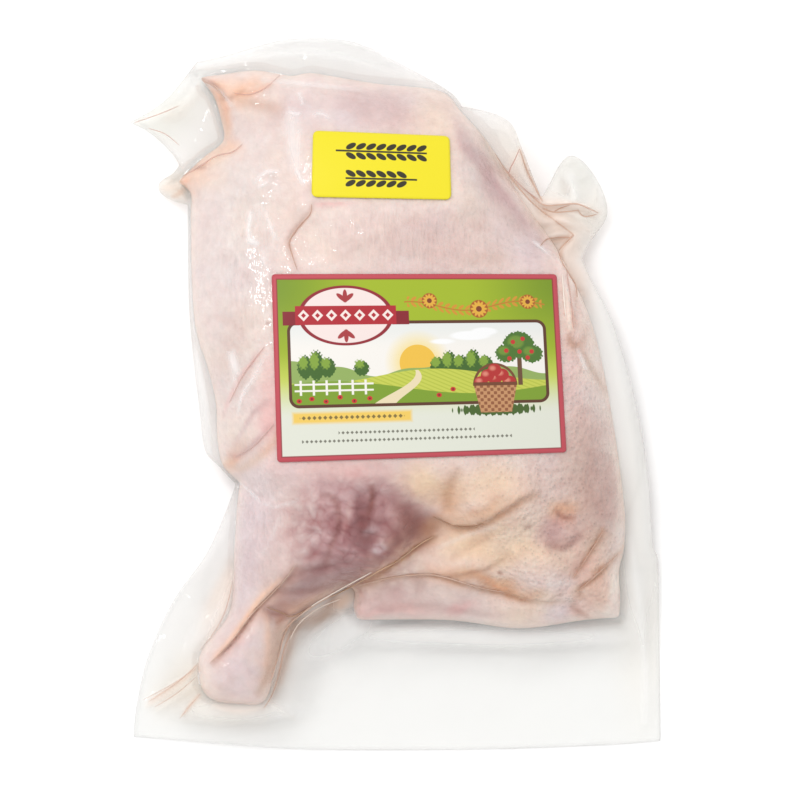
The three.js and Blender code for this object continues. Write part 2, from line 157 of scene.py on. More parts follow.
# kind, rise, reach, tone, strength, half width, route. A lip is raised on the left of its way,
# and its colour lies at its foot. Each fold's stroke is partly the skin's own line and partly painted
# shade in the crease; for a lip it is a painted shadow at its foot. The pale ridge strokes (right_light,
# calf_light and the ridge below the mound's flap) are painted highlights. The orange ones along the
# shin and ankle are partly the skin's colour and partly painted light.
FOLDS = {
    "flap_edge": ("groove", 1.0, 1.5, "rust", 0.7, 1.0, [(-70, 112), (-64.5, 109), (-60.5, 104.5)]),
    "flap_sheet_edge": ("lip", 1, 2.5, "amber", 0.4, 0.9,
                        [(-41, 113), (-46, 108), (-53, 105.5), (-58, 106.5)]),
    "flap_cut": ("groove", 0.8, 1.0, "rust", 0.45, 0.7, [(-65, 104), (-59, 104.5), (-53, 108)]),
    "flap_ridge": ("ridge", 2.0, 2.2, "orange", 0.6, 2.2, [(-60, 104), (-55, 108.5), (-47.5, 110.5)]),
    "flap_fall": ("lip", 1.4, 4, "amber", 0.6, 1.6, [(-62.5, 89), (-61, 96), (-63.5, 104), (-66, 109)]),
    "flap_valley": ("groove", 1.2, 3.0, "brown", 0.35, 2.5, [(-57, 103.5), (-48, 102), (-38.5, 99.5)]),
    "tip_lip": ("lip", 2, 6, "orange", 0.7, 2.6,
                [(-54.5, 89), (-57, 86.5), (-64, 85.5), (-69, 82), (-75, 77.5)]),
    "tip_line": ("groove", 0.8, 1.0, "rust", 0.6, 0.8, [(-77, 76.5), (-73.5, 79.5), (-67, 80)]),
    "mound_lip": ("lip", 2.2, 9, "tan", 0.6, 1.1,
                  [(-29.5, 68), (-29.5, 64.5), (-33.5, 59.5), (-37.5, 54), (-37, 50.5), (-34.5, 42.5)]),
    "mound_highlight": ("ridge", 1.2, 2.2, "pale", 0.3, 1.6, [(-31, 60.5), (-27, 63), (-22, 64), (-15, 64)]),
    "mound_flap": ("groove", 1.0, 1.6, "rose", 0.6, 0.9, [(-29.5, 66.5), (-24, 66.5), (-14, 67)]),
    "flank_edge": ("lip", 1.4, 5, "purple", 0.6, 1.8, [(46.5, 56), (36, 70), (27.5, 80.5), (20.5, 89)]),
    "flank_groove": ("groove", 1.2, 3, "purple", 0.15, 2.0, [(24, 93), (31, 80.5), (43, 62), (51, 48)]),
    "side_fold": ("groove", 0.9, 2.2, "blush", 0.4, 1.6, [(-66, 28), (-57, 24), (-51.5, 15.5)]),
    "side_line": ("groove", 0.9, 1.6, "blush", 0.6, 0.9, [(-49.5, 16), (-51.5, 8.5), (-57, -2)]),
    "side_pink": ("groove", 0.6, 1.0, "rose", 0.6, 0.8,
                  [(-46, 17), (-51, 11), (-55, 6), (-59, -2), (-61.5, -9)]),
    "knee_line": ("lip", 1.4, 3.5, "mauve", 0.4, 1.0, [(-58, -18), (-52.5, -9), (-50, -5.5), (-44, -1)]),
    "knee_lip": ("lip", 2, 5, "mauve", 0.5, 1.2,
                 [(-43, -10.5), (-48, -16), (-51.5, -19.5), (-56, -22.5), (-61, -21.5)]),
    "knee_foot": ("groove", 1.6, 2.4, "apricot", 0.5, 2.0,
                  [(-61, -25.5), (-55, -26.5), (-46, -20), (-40, -12)]),
    "calf_arc": ("groove", 1.0, 1.8, "wine", 0.6, 1.3,
                 [(-27.5, -35.5), (-23, -36), (-20.5, -41.5), (-21, -48.5), (-24, -55.5), (-25, -62.5)]),
    "calf_streak": ("groove", 0.8, 1.6, "wine", 0.8, 1.3, [(-9, -31), (-8.5, -37), (-10, -43)]),
    "calf_light": ("ridge", 0.5, 1.4, "blush", 0.5, 1.0, [(-16.5, -37), (-18.5, -49.5)]),
    "calf_edge": ("lip", 2.6, 9, "gold", 0.9, 1.1,
                  [(-18.5, -69.5), (-9.5, -64.5), (-4, -61.5), (1, -58), (7.5, -53), (14.5, -49.5)]),
    "calf_rim": ("groove", 0.4, 1.0, "gold", 0.5, 1.0,
                 [(-15, -66), (-20, -67.5), (-27, -71.5), (-34, -76.5), (-38.5, -82.5),
                  (-42.5, -93), (-45, -103)]),
    "calf_hollow": ("groove", 1.6, 2.2, "wine", 0.5, 1.6,
                    [(-43, -69.5), (-32, -69), (-20, -67), (-12, -62)]),
    "calf_hollow_high": ("groove", 0.9, 1.6, "wine", 0.25, 1.2,
                         [(-41, -66), (-31, -62), (-20, -60), (-8, -56)]),
    "shin_lip": ("lip", 3, 6, "rust", 0.6, 0.9,
                 [(-66, -95.5), (-62, -91.5), (-57, -86), (-51, -77.5), (-47.5, -73.5), (-40, -66),
                  (-35, -59.5)]),
    "shin_rim": ("ridge", 0.8, 1.2, "orange", 0.8, 1.0,
                 [(-65.5, -94), (-57.5, -85), (-51.5, -76.5), (-47.5, -71.5), (-40, -64.5)]),
    "ankle_line": ("lip", 2.0, 3.5, "rust", 0.85, 0.9,
                   [(-22, -70.5), (-29, -74), (-36, -78.5), (-43, -81)]),
    "ankle_hollow": ("groove", 2.0, 2.4, "wine", 0.5, 1, [(-47.5, -75.5), (-43.5, -77.5), (-38, -78)]),
    "ankle_ridge": ("ridge", 1.4, 1.6, "orange", 0.5, 1.2,
                    [(-46.5, -76), (-45.5, -83), (-45.5, -88), (-46.5, -97)]),
    "knob_band": ("groove", 1.2, 1.6, "brown", 0.35, 1.2,
                  [(-41.5, -84), (-43.5, -94), (-47, -102), (-50, -107)]),
    "knob_fringe": ("groove", 0.8, 1.2, "rust", 0.2, 1.0,
                    [(-68.5, -104), (-64, -108), (-55, -109), (-48, -107.5)]),
    "pale_valley": ("groove", 1.8, 3.0, "gold", 0.3, 1.8,
                    [(22, -25), (19.5, -30), (17.5, -35.5), (17.5, -42)]),
    "belly_crease": ("lip", 2.4, 8, "gold", 0.6, 1.6,
                     [(12.5, -42.5), (19.5, -46), (24, -46.5), (29, -45.5), (38, -40.5), (45, -36),
                      (51, -34.5)]),
    "belly_line": ("groove", 0.6, 1.8, "brown", 0.2, 1.2,
                   [(16.5, -60), (24, -55), (36.5, -47.5), (46, -43)]),
    "belly_lip": ("lip", 1.2, 4, "brown", 0.45, 0.9,
                  [(7, -63), (20, -63.5), (28.5, -62), (33, -60.5), (40, -55)]),
    "strip_lip": ("lip", 2.4, 6, "gold", 0.5, 1.0,
                  [(-15, -68), (-4, -65), (9.5, -63.5), (17, -64.5), (28.5, -68), (38, -70),
                   (47, -72.5), (64.5, -73)]),
    "strip_fold": ("groove", 0.9, 2.0, "wine", 0.2, 1.6, [(-8, -76), (10, -74.5), (30, -78), (48, -77)]),
    "haunch_streak": ("groove", 1.4, 2.4, "wine", 0.5, 1.6, [(52, -52.5), (59, -54), (65, -49)]),
    "haunch_fold": ("groove", 1.6, 2.2, "brown", 0.6, 1.4,
                    [(73, -47), (71, -51), (67.5, -56.5), (62, -65)]),
    "haunch_squiggle": ("groove", 0.8, 1.4, "rust", 0.6, 1.0, [(55, -40.5), (58.5, -43.5), (63, -44)]),
    "haunch_line": ("groove", 0.8, 1.4, "brown", 0.45, 1.0, [(73.5, -60), (68, -63.5)]),
    "corner_lip": ("lip", 2.2, 4, "gold", 0.55, 1.0,
                   [(65, -73), (63.5, -68.5), (68, -65.5), (71.5, -62.5), (78, -56), (82, -52)]),
    "corner_fold": ("groove", 1.0, 1.6, "rust", 0.5, 1.0, [(60.5, -74.5), (64.5, -77), (69, -80)]),
    "corner_clear": ("ridge", 1.0, 1.4, "pale", 0.6, 1.2, [(74, -75), (76.5, -69), (79, -61.5)]),
    "right_crease": ("lip", 2.4, 5, "gold", 0.4, 1.1,
                     [(74.5, -1), (71.5, 3), (68, 8.5), (64, 15), (59, 20)]),
    "right_pouch": ("lip", 2.0, 3.0, "brown", 0.4, 1.2,
                    [(68.5, 25), (66, 19), (62, 16.5), (60, 19), (59, 27)]),
    "right_fold": ("groove", 1.6, 1.6, "brown", 0.4, 1.0, [(63, 40), (62.3, 30), (61.8, 22)]),
    "right_light": ("ridge", 1.2, 1.4, "rim", 0.8, 1.1, [(59.5, 38), (60, 30), (60.7, 22)]),
    "right_rim": ("groove", 0.6, 1.6, "tan", 0.25, 1.4,
                  [(63, 37), (70, 18), (75, -2), (79, -24), (80.5, -46)]),
}

# x, y, lift, radius of the places where the loose film stands up.
FILM_LIFTS = {
    "ear": (-86, 98, 8, 12),
    "first_lobe": (40, 90, 14, 12),
    "second_lobe": (68, 72, 16, 12),
}

# Like FOLDS, for the loose film round the meat; the strength is also its milkiness.
FILM_FOLDS = {
    "ear_line": ("ridge", 2.5, 3, "warm_film", 0.3, 1.2, [(-94, 96), (-84, 99), (-74, 104), (-69, 112)]),
    "ear_low": ("ridge", 1.5, 2.5, "grey_film", 0.3, 1.2, [(-92, 95), (-85, 91), (-79, 84), (-76, 79)]),
    "top_line": ("ridge", 1.5, 2.5, "grey_film", 0.4, 1.2,
                 [(-66, 115.5), (-50, 119.5), (-34, 121), (-18, 119), (4, 112)]),
    "small_lobe_line": ("ridge", 2.0, 1.8, "flesh_film", 0.5, 1.2, [(-84, 73), (-80, 73), (-75.5, 74.5)]),
    "small_lobe_low": ("ridge", 1.5, 1.5, "crease_and_shadow_film", 0.4, 0.8, [(-80, 69.5), (-77, 71), (-74.5, 73.5)]),
    "left_line": ("ridge", 1.0, 1.5, "grey_film", 0.3, 1.0,
                  [(-73, 62), (-71.5, 35), (-70, 14), (-67, -6), (-62, -22)]),
    "first_edge": ("ridge", 3.5, 1.8, "crease_and_shadow_film", 0.6, 0.9,
                   [(43, 87.5), (46, 79), (49, 72.5), (51.5, 67)]),
    "first_fill": ("ridge", 2.5, 3.0, "flesh_film", 0.5, 3.2, [(42.5, 86), (42, 76), (46, 66), (51, 58)]),
    "first_brown": ("groove", 2.0, 1.6, "crease_and_shadow_film", 0.35, 0.8,
                    [(36.5, 80.5), (43, 73.5), (48.5, 68), (56.5, 60.5), (63, 55.5)]),
    "fan_high": ("ridge", 3.5, 1.8, "flesh_film", 0.6, 1.2,
                 [(50.5, 67), (57, 67.5), (64, 66.5), (72.5, 63.5)]),
    "fan_high_line": ("groove", 2.0, 1.3, "crease_and_shadow_film", 0.25, 0.7,
                      [(51, 65.5), (57.5, 65), (64, 64.5), (70.5, 62)]),
    "fan_middle": ("ridge", 3.0, 1.8, "flesh_film", 0.5, 1.6, [(50, 61), (56, 61.5), (62, 60), (69, 57)]),
    "fan_low": ("ridge", 2.5, 1.6, "flesh_film", 0.5, 1.5, [(48, 55), (53, 55), (58, 56.5), (65.5, 55)]),
    "fan_low_line": ("groove", 2.0, 1.3, "crease_and_shadow_film", 0.4, 0.8, [(50, 52.5), (57, 54.5), (62, 56)]),
    "neck": ("ridge", 2.5, 1.6, "flesh_film", 0.8, 1.6, [(64, 55), (59, 50.5), (59.5, 45), (64, 36.5)]),
    "neck_line": ("groove", 1.5, 1.3, "crease_and_shadow_film", 0.35, 0.8,
                  [(62, 55.5), (57.5, 50), (61, 43), (66, 34)]),
    "second_shade": ("ridge", 3.0, 3.0, "grey_film", 0.5, 2.0, [(60.5, 80), (61.5, 74), (63, 68)]),
    "second_side": ("ridge", 2.0, 2.0, "warm_film", 0.4, 1.2, [(70, 74), (70.5, 69), (68, 65)]),
    "right_line": ("ridge", 0.6, 3.0, "warm_film", 0.2, 1.5,
                   [(67, 40), (74, 22), (81, -6), (85, -36), (86, -62)]),
    "right_low_line": ("ridge", 1.0, 2.5, "grey_film", 0.4, 1.3,
                       [(82, -50), (86, -75), (88, -100), (88, -118)]),
    "knee_line": ("ridge", 1.2, 1.4, "warm_film", 0.5, 1.0, [(-61, -29), (-67, -36), (-73, -48)]),
    "shin_side": ("ridge", 1.5, 1.8, "flesh_film", 0.5, 1.3,
                  [(-58, -62), (-60, -72), (-64, -82), (-69, -90)]),
    "shin_side_line": ("ridge", 1.0, 1.2, "warm_film", 0.4, 0.7, [(-57.5, -76), (-61.5, -83), (-66, -89)]),
    "knob_ray_1": ("ridge", 1.4, 1.2, "crease_and_shadow_film", 0.35, 0.6,
                   [(-69, -94.5), (-76, -101), (-88.5, -109.5)]),
    "knob_ray_2": ("ridge", 1.2, 1.2, "flesh_film", 0.35, 0.7, [(-70.5, -97), (-79, -105), (-89.5, -111)]),
    "knob_ray_3": ("ridge", 1.2, 1.2, "warm_film", 0.5, 0.9, [(-71.5, -102), (-78, -107), (-86, -112.5)]),
    "knob_ray_4": ("ridge", 1.0, 1.0, "crease_and_shadow_film", 0.4, 0.7, [(-69.5, -106), (-73, -110), (-76, -114)]),
    "knob_right": ("ridge", 0.6, 1.6, "warm_film", 0.25, 1.2, [(-47, -107), (-43, -111), (-36, -115)]),
    "knob_under": ("ridge", 1.2, 1.5, "flesh_film", 0.6, 1.3, [(-66, -109.5), (-57, -112), (-46, -110.5)]),
    "hollow_line": ("ridge", 0.3, 2.5, "grey_film", 0.2, 1.2,
                    [(-38, -88), (-30, -80), (-22, -76), (-17, -82)]),
    "strip_line": ("ridge", 0.6, 3.0, "warm_film", 0.15, 1.5,
                   [(-16, -84), (10, -86), (40, -88.5), (70, -86)]),
}
# tone, strength, x, y, half length, half width, turn of the loose film's tints. ankle_shade and calf_shade
# are painted shadow beside the drumstick, where the meat's shadow lies on the film.
FILM_PATCHES = {
    "ear": ("lobe_film", 0.9, -85, 98, 15, 10, 35),
    "lobe_top": ("lobe_film", 0.9, 62, 77, 12, 11, 80),
    "right": ("warm_film", 0.35, 80, -20, 60, 9, -80),
    "right_low": ("warm_film", 0.2, 86, -80, 35, 10, 90),
    "first_lobe": ("warm_film", 0.5, 42, 88, 13, 9, -50),
    "fan": ("flesh_film", 1.0, 54, 60, 13, 8, -35),
    "fan_edge": ("warm_film", 0.6, 66, 60, 12, 7, 20),
    "neck": ("flesh_film", 0.9, 60, 46, 15, 5, -60),
    "small_lobe": ("warm_film", 0.7, -79, 74, 7, 5, 0),
    "shin_side": ("flesh_film", 0.4, -61, -70, 16, 3.5, 62),
    "ankle_shade": ("crease_and_shadow_film", 0.4, -40, -91, 16, 3.0, 72),
    "calf_shade": ("crease_and_shadow_film", 0.5, -26, -76.5, 14, 3.0, 34),
    "notch_top": ("crease_and_shadow_film", 0.6, -18, -71, 7, 4, 40),
    "knob_left": ("warm_film", 0.6, -74, -102, 12, 8, 40),
    "knob_under": ("warm_film", 0.6, -60, -112, 14, 4, 0),
}

# strength, x, y, half length, half width, turn: where the loose film is milky. The milk is partly the
# film's own and partly painted light, placed to lighten the meat's shadow seen through the film.
FILM_MILK_AND_PAINTED_LIGHT = {
    "right": (0.6, 76, 2, 58, 8, -80),
    "right_low": (0.5, 86, -52, 34, 7, 90),
    "fan": (0.45, 55, 62, 18, 11, -30),
    "notch": (0.4, -20, -85, 18, 6.5, 32),
    "edge": (0.45, -42, -92, 15, 2.6, 72),
    "edge_high": (0.45, -29, -75.5, 10, 2.4, 34),
    "notch_top": (0.5, -18, -72, 6, 4.5, 40),
    "strip": (0.35, 30, -86, 60, 4, 0),
    "neck": (0.5, 63, 44, 16, 6, -62),
    "knob": (0.4, -58, -112, 20, 4, 0),
    "shin": (0.25, -62, -76, 18, 5, 58),
}

# rise, reach, milkiness, half width, route of the ridges in the film drawn tight over the meat.
# Their milk is partly the whitening of creased film and partly painted highlight standing in for the
# film's glints; the sheen lines, which have no rise, are painted highlight only.
TIGHT_RIDGES = {
    "column_glint": (0.8, 1.0, 0.32, 1.0, [(-57, 16), (-57.5, 9), (-56.5, 2)]),
    "column_highlight": (0.8, 2.0, 0.5, 1.8, [(-58.5, 15.5), (-57.3, 11), (-56, 6)]),
    "column_fan": (0.6, 0.8, 0.35, 0.6, [(-45.5, 14), (-49.5, 7.5), (-54.5, -1), (-56, -8)]),
    "column_top_highlight": (0.6, 1.6, 0.5, 1.4, [(-53, 54.5), (-50.5, 53.5), (-48.5, 52)]),
    "column_low": (0.7, 0.9, 0.26, 0.8, [(-46.5, 10), (-51, 4), (-55, -2)]),
    "knee_glint": (0.9, 0.9, 0.32, 0.6, [(-56, -31), (-51, -35), (-47.5, -38.5)]),
    "knee_sheen": (0.4, 0.8, 0.25, 0.6, [(-48, -38), (-42, -39.5), (-34, -37)]),
    "tip_v_left": (0.8, 0.8, 0.51, 0.7, [(-51, 64.5), (-52, 58.5), (-51.5, 52)]),
    "tip_v_right": (0.8, 0.8, 0.38, 0.7, [(-46.5, 65), (-44, 58), (-42, 53.5)]),
    "column_short": (0.6, 0.8, 0.38, 0.7, [(-47.5, 49), (-46.5, 45.5)]),
    "arc_high": (0.9, 0.9, 0.38, 0.8, [(-50.5, 74.5), (-45.5, 78), (-41, 78)]),
    "arc_low": (0.8, 0.8, 0.38, 0.7, [(-49, 72.5), (-44.5, 75)]),
    "crown_glint": (0.8, 0.8, 0.51, 0.8, [(-38.5, 99), (-36, 98.5), (-33.5, 98.5)]),
    "crown_streak": (0.7, 0.8, 0.38, 0.7, [(-34.5, 106.5), (-33, 101.5)]),
    "crown_side": (0.8, 0.9, 0.45, 0.8, [(-30, 98), (-26.5, 98.5), (-23.5, 96.5)]),
    "yellow_side": (0.9, 1.0, 0.51, 0.9, [(-36, 81), (-34.5, 77), (-32.5, 73)]),
    "sheen_left": (0.0, 1.0, 0.34, 2.6, [(-37, 101), (-36.5, 88), (-34, 76)]),
    "sheen_top": (0.0, 1.0, 0.18, 3.0, [(-35, 98), (-22, 98), (-14, 97)]),
    "yellow_high": (0.7, 1.2, 0.32, 1.4, [(-34, 95), (-35, 88), (-34.5, 80)]),
    "flap_sheet": (0.8, 0.9, 0.32, 0.8, [(-68, 110.5), (-62, 106.5), (-58, 101)]),
    "top_pleat": (0.7, 1.2, 0.26, 1.0, [(-49, 111), (-30, 109), (-12, 107)]),
    "flank_star": (0.9, 0.8, 0.45, 0.7, [(47.5, 54), (50, 52), (53.5, 49)]),
    "flank_pleat": (0.8, 1.0, 0.26, 0.9, [(56, 46), (60, 36), (64, 26)]),
    "right_pleat": (0.8, 1.0, 0.38, 0.9, [(63, 16.5), (65, 12), (66.5, 8)]),
    "calf_glint": (0.6, 0.9, 0.1, 0.8, [(-40, -40), (-44, -50), (-48, -58)]),
    "belly_glint": (0.5, 1.0, 0.19, 1.0, [(12, -55), (24, -50), (36, -46)]),
    "strip_glint": (0.6, 0.8, 0.38, 0.8, [(-15.5, -71), (-16, -75), (-15, -79)]),
    "rim_glint": (0.6, 0.7, 0.6, 0.7, [(-25, -74.5), (-22.5, -76), (-19.5, -71.5)]),
    "knob_glint": (0.6, 0.8, 0.6, 0.8, [(-70, -98), (-70.5, -101), (-69.5, -103)]),
}
FILM_CREASES = {name: ("ridge", *row[:2], "", *row[2:]) for name, row in TIGHT_RIDGES.items()}

# tone, thickness, milkiness, route of the hair-thin pleats pinched in the film. The pale threads are
# painted highlights, the film's glints. The dark threads laid over the meat's folds are partly the
# skin's lines and partly painted crease shade.
PLEATS = {
    "lobe_edge": ("thread", 0.5, 0.6, [(43.2, 86.5), (45.8, 79), (48.5, 73.5), (51.4, 68)]),
    "lobe_v": ("thread_pink", 0.4, 0.3, [(43.2, 86.5), (41.5, 82.5), (40, 79.6), (39.3, 77.3)]),
    "lobe_foot": ("thread", 0.5, 0.6,
                  [(34.4, 84.8), (39.7, 76.9), (45.8, 69.4), (51.1, 64.6), (57.2, 60.2), (62.5, 56.2)]),
    "fan_upper": ("thread", 0.5, 0.6,
                  [(45.8, 71.6), (51.5, 66.9), (57.2, 66.8), (63.3, 67.1), (67.7, 65.5), (71.3, 63.9)]),
    "fan_second": ("thread", 0.5, 0.6, [(51, 65.8), (55.5, 64.2), (59.8, 64.4), (64.2, 65)]),
    "fan_hook": ("thread", 0.4, 0.5, [(63.8, 65.2), (65.3, 63.2), (67.5, 62.8), (70.8, 63.6)]),
    "fan_cross": ("thread", 0.4, 0.4, [(55.5, 64.4), (58, 65.8), (61, 66.6)]),
    "fan_v": ("thread", 0.5, 0.6, [(62.5, 56.2), (60.7, 54.5), (57.2, 50.9)]),
    "fan_v_high": ("thread", 0.45, 0.5, [(61.5, 55.3), (57.2, 55.3), (52.8, 54.5), (50.2, 51.8)]),
    "lobe_inner": ("thread_pink", 0.4, 0.4, [(38.8, 78.6), (44, 73), (50.3, 68.4)]),
    "neck_in": ("thread", 0.5, 0.5, [(56.8, 50.1), (58.1, 46.1), (60.8, 41.7), (62.7, 38.5), (63.4, 34)]),
    "neck_low": ("thread_pink", 0.45, 0.4, [(59.5, 44), (60.5, 37), (61.5, 30), (62, 23)]),
    "neck_glint": ("thread_pale", 0.5, 0.8, [(58, 42), (58.5, 34), (59.2, 27)]),
    "ear_fold": ("thread_pink", 0.3, 0.3, [(-93, 96), (-84, 99), (-77, 102)]),
    "ear_second": ("thread_pink", 0.25, 0.2, [(-88, 94), (-82, 92), (-77, 88)]),
    "ray_first": ("thread_faint", 0.35, 0.25, [(-70, -95), (-77, -101.5), (-88, -109)]),
    "ray_second": ("thread_faint", 0.3, 0.2, [(-71, -100), (-78, -106), (-86, -111)]),
    "ray_third": ("thread_faint", 0.3, 0.2, [(-69.5, -106), (-73, -110), (-77, -115)]),
    "ray_fourth": ("thread_faint", 0.25, 0.2, [(-71, -97), (-80, -103), (-90, -108.5)]),
    "shin_film": ("thread_faint", 0.3, 0.25, [(-58, -66), (-60.5, -76), (-64.5, -84), (-70, -91)]),
    "calf_foot": ("thread_dark", 0.6, 0.8,
                  [(-23.5, -71.8), (-16.5, -68.2), (-6, -62), (-0.4, -59), (8, -52.8), (13, -50)]),
    "calf_foot_pale": ("thread_pale", 0.5, 0.8,
                       [(-37, -80.5), (-30, -74.8), (-24, -71.2), (-17, -67.2), (-9, -62.7)]),
    "edge_gold": ("thread", 0.5, 0.6,
                  [(-21, -70.5), (-28, -73.6), (-35, -78.6), (-39.5, -84.5), (-42, -93), (-45, -102)]),
    "edge_pale": ("thread_pale", 0.45, 0.7, [(-20, -72.5), (-28, -75.8), (-34.5, -81), (-38, -87)]),
    "edge_far": ("thread", 0.4, 0.5,
                 [(-37.2, -83.5), (-39.8, -90), (-41.5, -98), (-44, -106), (-47, -111)]),
    "ankle_film": ("thread", 0.45, 0.7, [(-41, -84.5), (-36, -79.5), (-29, -74.6), (-22, -70.8)]),
    "ankle_in": ("thread_dark", 0.45, 0.6, [(-46, -75), (-41, -77), (-37, -78.5), (-32, -76)]),
    "shin_edge": ("thread", 0.45, 0.6,
                  [(-66, -95), (-58, -86.5), (-52, -78.5), (-47.5, -73.8), (-40, -66), (-36, -60.5)]),
    "belly_dark": ("thread_dark", 0.45, 0.6, [(12.5, -43), (19.5, -46.2), (25, -46.8), (30, -45.5)]),
    "strip_top": ("thread", 0.5, 0.6,
                  [(-14, -67.8), (-4, -65), (9.5, -63.5), (17, -64.5), (28.5, -68), (38, -70)]),
    "haunch_hair": ("thread", 0.4, 0.5, [(73, -47), (71, -51), (67.5, -56.5), (62, -65)]),
    "corner_hair": ("thread", 0.4, 0.5, [(64, -69.5), (68, -65.7), (71.5, -62.7), (78, -56.3)]),
    "mound_hair": ("thread", 0.4, 0.45,
                   [(-30, 66.5), (-30.5, 63), (-34.5, 58.5), (-37.7, 53.5), (-37, 49.5), (-35, 43.5)]),
    "tip_hair": ("thread_pink", 0.35, 0.4, [(-76, 77), (-70, 80.3), (-64, 84), (-58, 85.3), (-54.5, 88)]),
    "flap_hair": ("thread", 0.4, 0.5, [(-69, 111), (-64.5, 108.6), (-60.8, 104.3)]),
    "flap_second": ("thread_pink", 0.3, 0.4, [(-58, 106.3), (-52, 105.6), (-46, 108.2), (-41, 113)]),
    "side_hair": ("thread_pink", 0.4, 0.5, [(-46.5, 16.5), (-51, 11), (-55, 5), (-59, -3)]),
    "knee_hair": ("thread_pink", 0.4, 0.5, [(-43, -10.5), (-48, -16), (-52, -19.5), (-57, -22.3)]),
}

# Stickers: plan corners from the top left, clockwise, and the surface they lie on.
LABELS = {
    "label_picture": {
        "corners": [(-44, 42), (56, 42), (59.5, -20.5), (-42, -24)], "round": 1.2, "middle": (5, 8),
        "height": 54.5, "slope": (-0.01, 0.03), "bend": (135, 300), "size": (102.0, 65.0),
    },
    "label_yellow": {
        "corners": [(-29.5, 92.5), (18.5, 90.5), (19, 68), (-30, 69)], "round": 2.0, "middle": (-5.5, 80),
        "height": 46.6, "slope": (0.04, -0.34), "bend": (170, 90), "size": (49.0, 25.0),
    },
}

# ------------------------------------------------------------------------------ plan functions


def smoothstep(value, low, high):
    t = np.clip((value - low) / (high - low), 0.0, 1.0)
    return t * t * (3.0 - 2.0 * t)


def spline(points, per_span):
    """Points on a Catmull-Rom curve whose end points are doubled."""
    points = np.array(points, float)
    padded = np.vstack([points[:1], points, points[-1:]])
    out = []
    for i in range(len(points) - 1):
        p0, p1, p2, p3 = padded[i : i + 4]
        for t in np.arange(per_span) / per_span:
            v0 = (p2 - p0) / 2
            v1 = (p3 - p1) / 2
            bend = (2 * p1 - 2 * p2 + v0 + v1) * t**3 + (3 * p2 - 3 * p1 - 2 * v0 - v1) * t**2
            out.append(bend + v0 * t + p1)
    return np.array(out + [points[-1]])


def outline(stretches, per_span=5):
    return np.vstack([spline(points, per_span)[:-1] for points in stretches.values()])


def segment_distance(x, y, a, b):
    """Distance to a segment, place along it from 0 to 1, and which side of it a point is on."""
    dx, dy = b[0] - a[0], b[1] - a[1]
    along = np.clip(((x - a[0]) * dx + (y - a[1]) * dy) / (dx * dx + dy * dy + 1e-12), 0.0, 1.0)
    ox = x - a[0] - along * dx
    oy = y - a[1] - along * dy
    return np.hypot(ox, oy), along, np.sign(dx * oy - dy * ox)


def depth_inside(x, y, polygon):
    """Distance to a closed outline, positive inside it."""
    nearest = np.full(x.shape, np.inf)
    inside = np.zeros(x.shape, bool)
    for a, b in zip(polygon, np.roll(polygon, -1, axis=0)):
        nearest = np.minimum(nearest, segment_distance(x, y, a, b)[0])
        if a[1] != b[1]:
            crosses = (a[1] > y) != (b[1] > y)
            inside ^= crosses & (x < a[0] + (y - a[1]) * (b[0] - a[0]) / (b[1] - a[1]))
    return np.where(inside, nearest, -nearest)


def line_distance(x, y, route, margin):
    """Distance to a curve through a route where it is within a margin, place along it, and the side."""
    line = spline(route, 6)
    gap = np.full(x.shape, 1e3)
    place = np.zeros(x.shape)
    side = np.ones(x.shape)
    low = line.min(axis=0) - margin
    high = line.max(axis=0) + margin
    near = (x > low[0]) & (x < high[0]) & (y > low[1]) & (y < high[1])
    px, py = x[near], y[near]
    best, best_place, best_side = gap[near], place[near], side[near]
    for i in range(len(line) - 1):
        d, along, s = segment_distance(px, py, line[i], line[i + 1])
        closer = d < best
        best = np.where(closer, d, best)
        best_place = np.where(closer, (i + along) / (len(line) - 1), best_place)
        best_side = np.where(closer, s, best_side)
    gap[near], place[near], side[near] = best, best_place, best_side
    return gap, place, side


def taper(place):
    """0 at both ends of a line and 1 over most of it."""
    return np.sqrt(np.maximum(0.0, np.sin(math.pi * place)))


def value_noise(x, y, size, seed):
    """Smooth noise from -1 to 1 with cells of the given size."""
    lattice = np.random.default_rng(seed).uniform(-1.0, 1.0, (NOISE_CELLS, NOISE_CELLS))
    gx, gy = x / size + NOISE_START, y / size + NOISE_START
    ix, iy = np.floor(gx).astype(int), np.floor(gy).astype(int)
    fx, fy = smoothstep(gx - ix, 0, 1), smoothstep(gy - iy, 0, 1)

    def at(dx, dy):
        return lattice[(ix + dx) % NOISE_CELLS, (iy + dy) % NOISE_CELLS]

    low = at(0, 0) * (1 - fx) + at(1, 0) * fx
    high = at(0, 1) * (1 - fx) + at(1, 1) * fx
    return low * (1 - fy) + high * fy


def rough_noise(x, y, size, seed, octaves=3):
    """Noise from -1 to 1 with finer and weaker noise laid over it, each shifted from the last."""
    total = np.zeros(x.shape)
    for octave in range(octaves):
        finer = 2**octave
        total += value_noise(x + 37.0 * octave, y - 11.0 * octave, size / finer, seed + octave) / finer
    return total / (2 - 0.5 ** (octaves - 1))


def cell_distance(x, y, size, seed):
    """Distance to the nearest of many scattered points, in cells of the given size."""
    jitter = np.random.default_rng(seed).uniform(0.1, 0.9, (2, NOISE_CELLS, NOISE_CELLS))
    gx, gy = x / size + NOISE_START, y / size + NOISE_START
    ix, iy = np.floor(gx).astype(int), np.floor(gy).astype(int)
    nearest = np.full(x.shape, 9.0)
    for dx, dy in itertools.product((-1, 0, 1), repeat=2):
        a, b = (ix + dx) % NOISE_CELLS, (iy + dy) % NOISE_CELLS
        away = np.hypot(gx - ix - dx - jitter[0][a, b], gy - iy - dy - jitter[1][a, b])
        nearest = np.minimum(nearest, away)
    return nearest


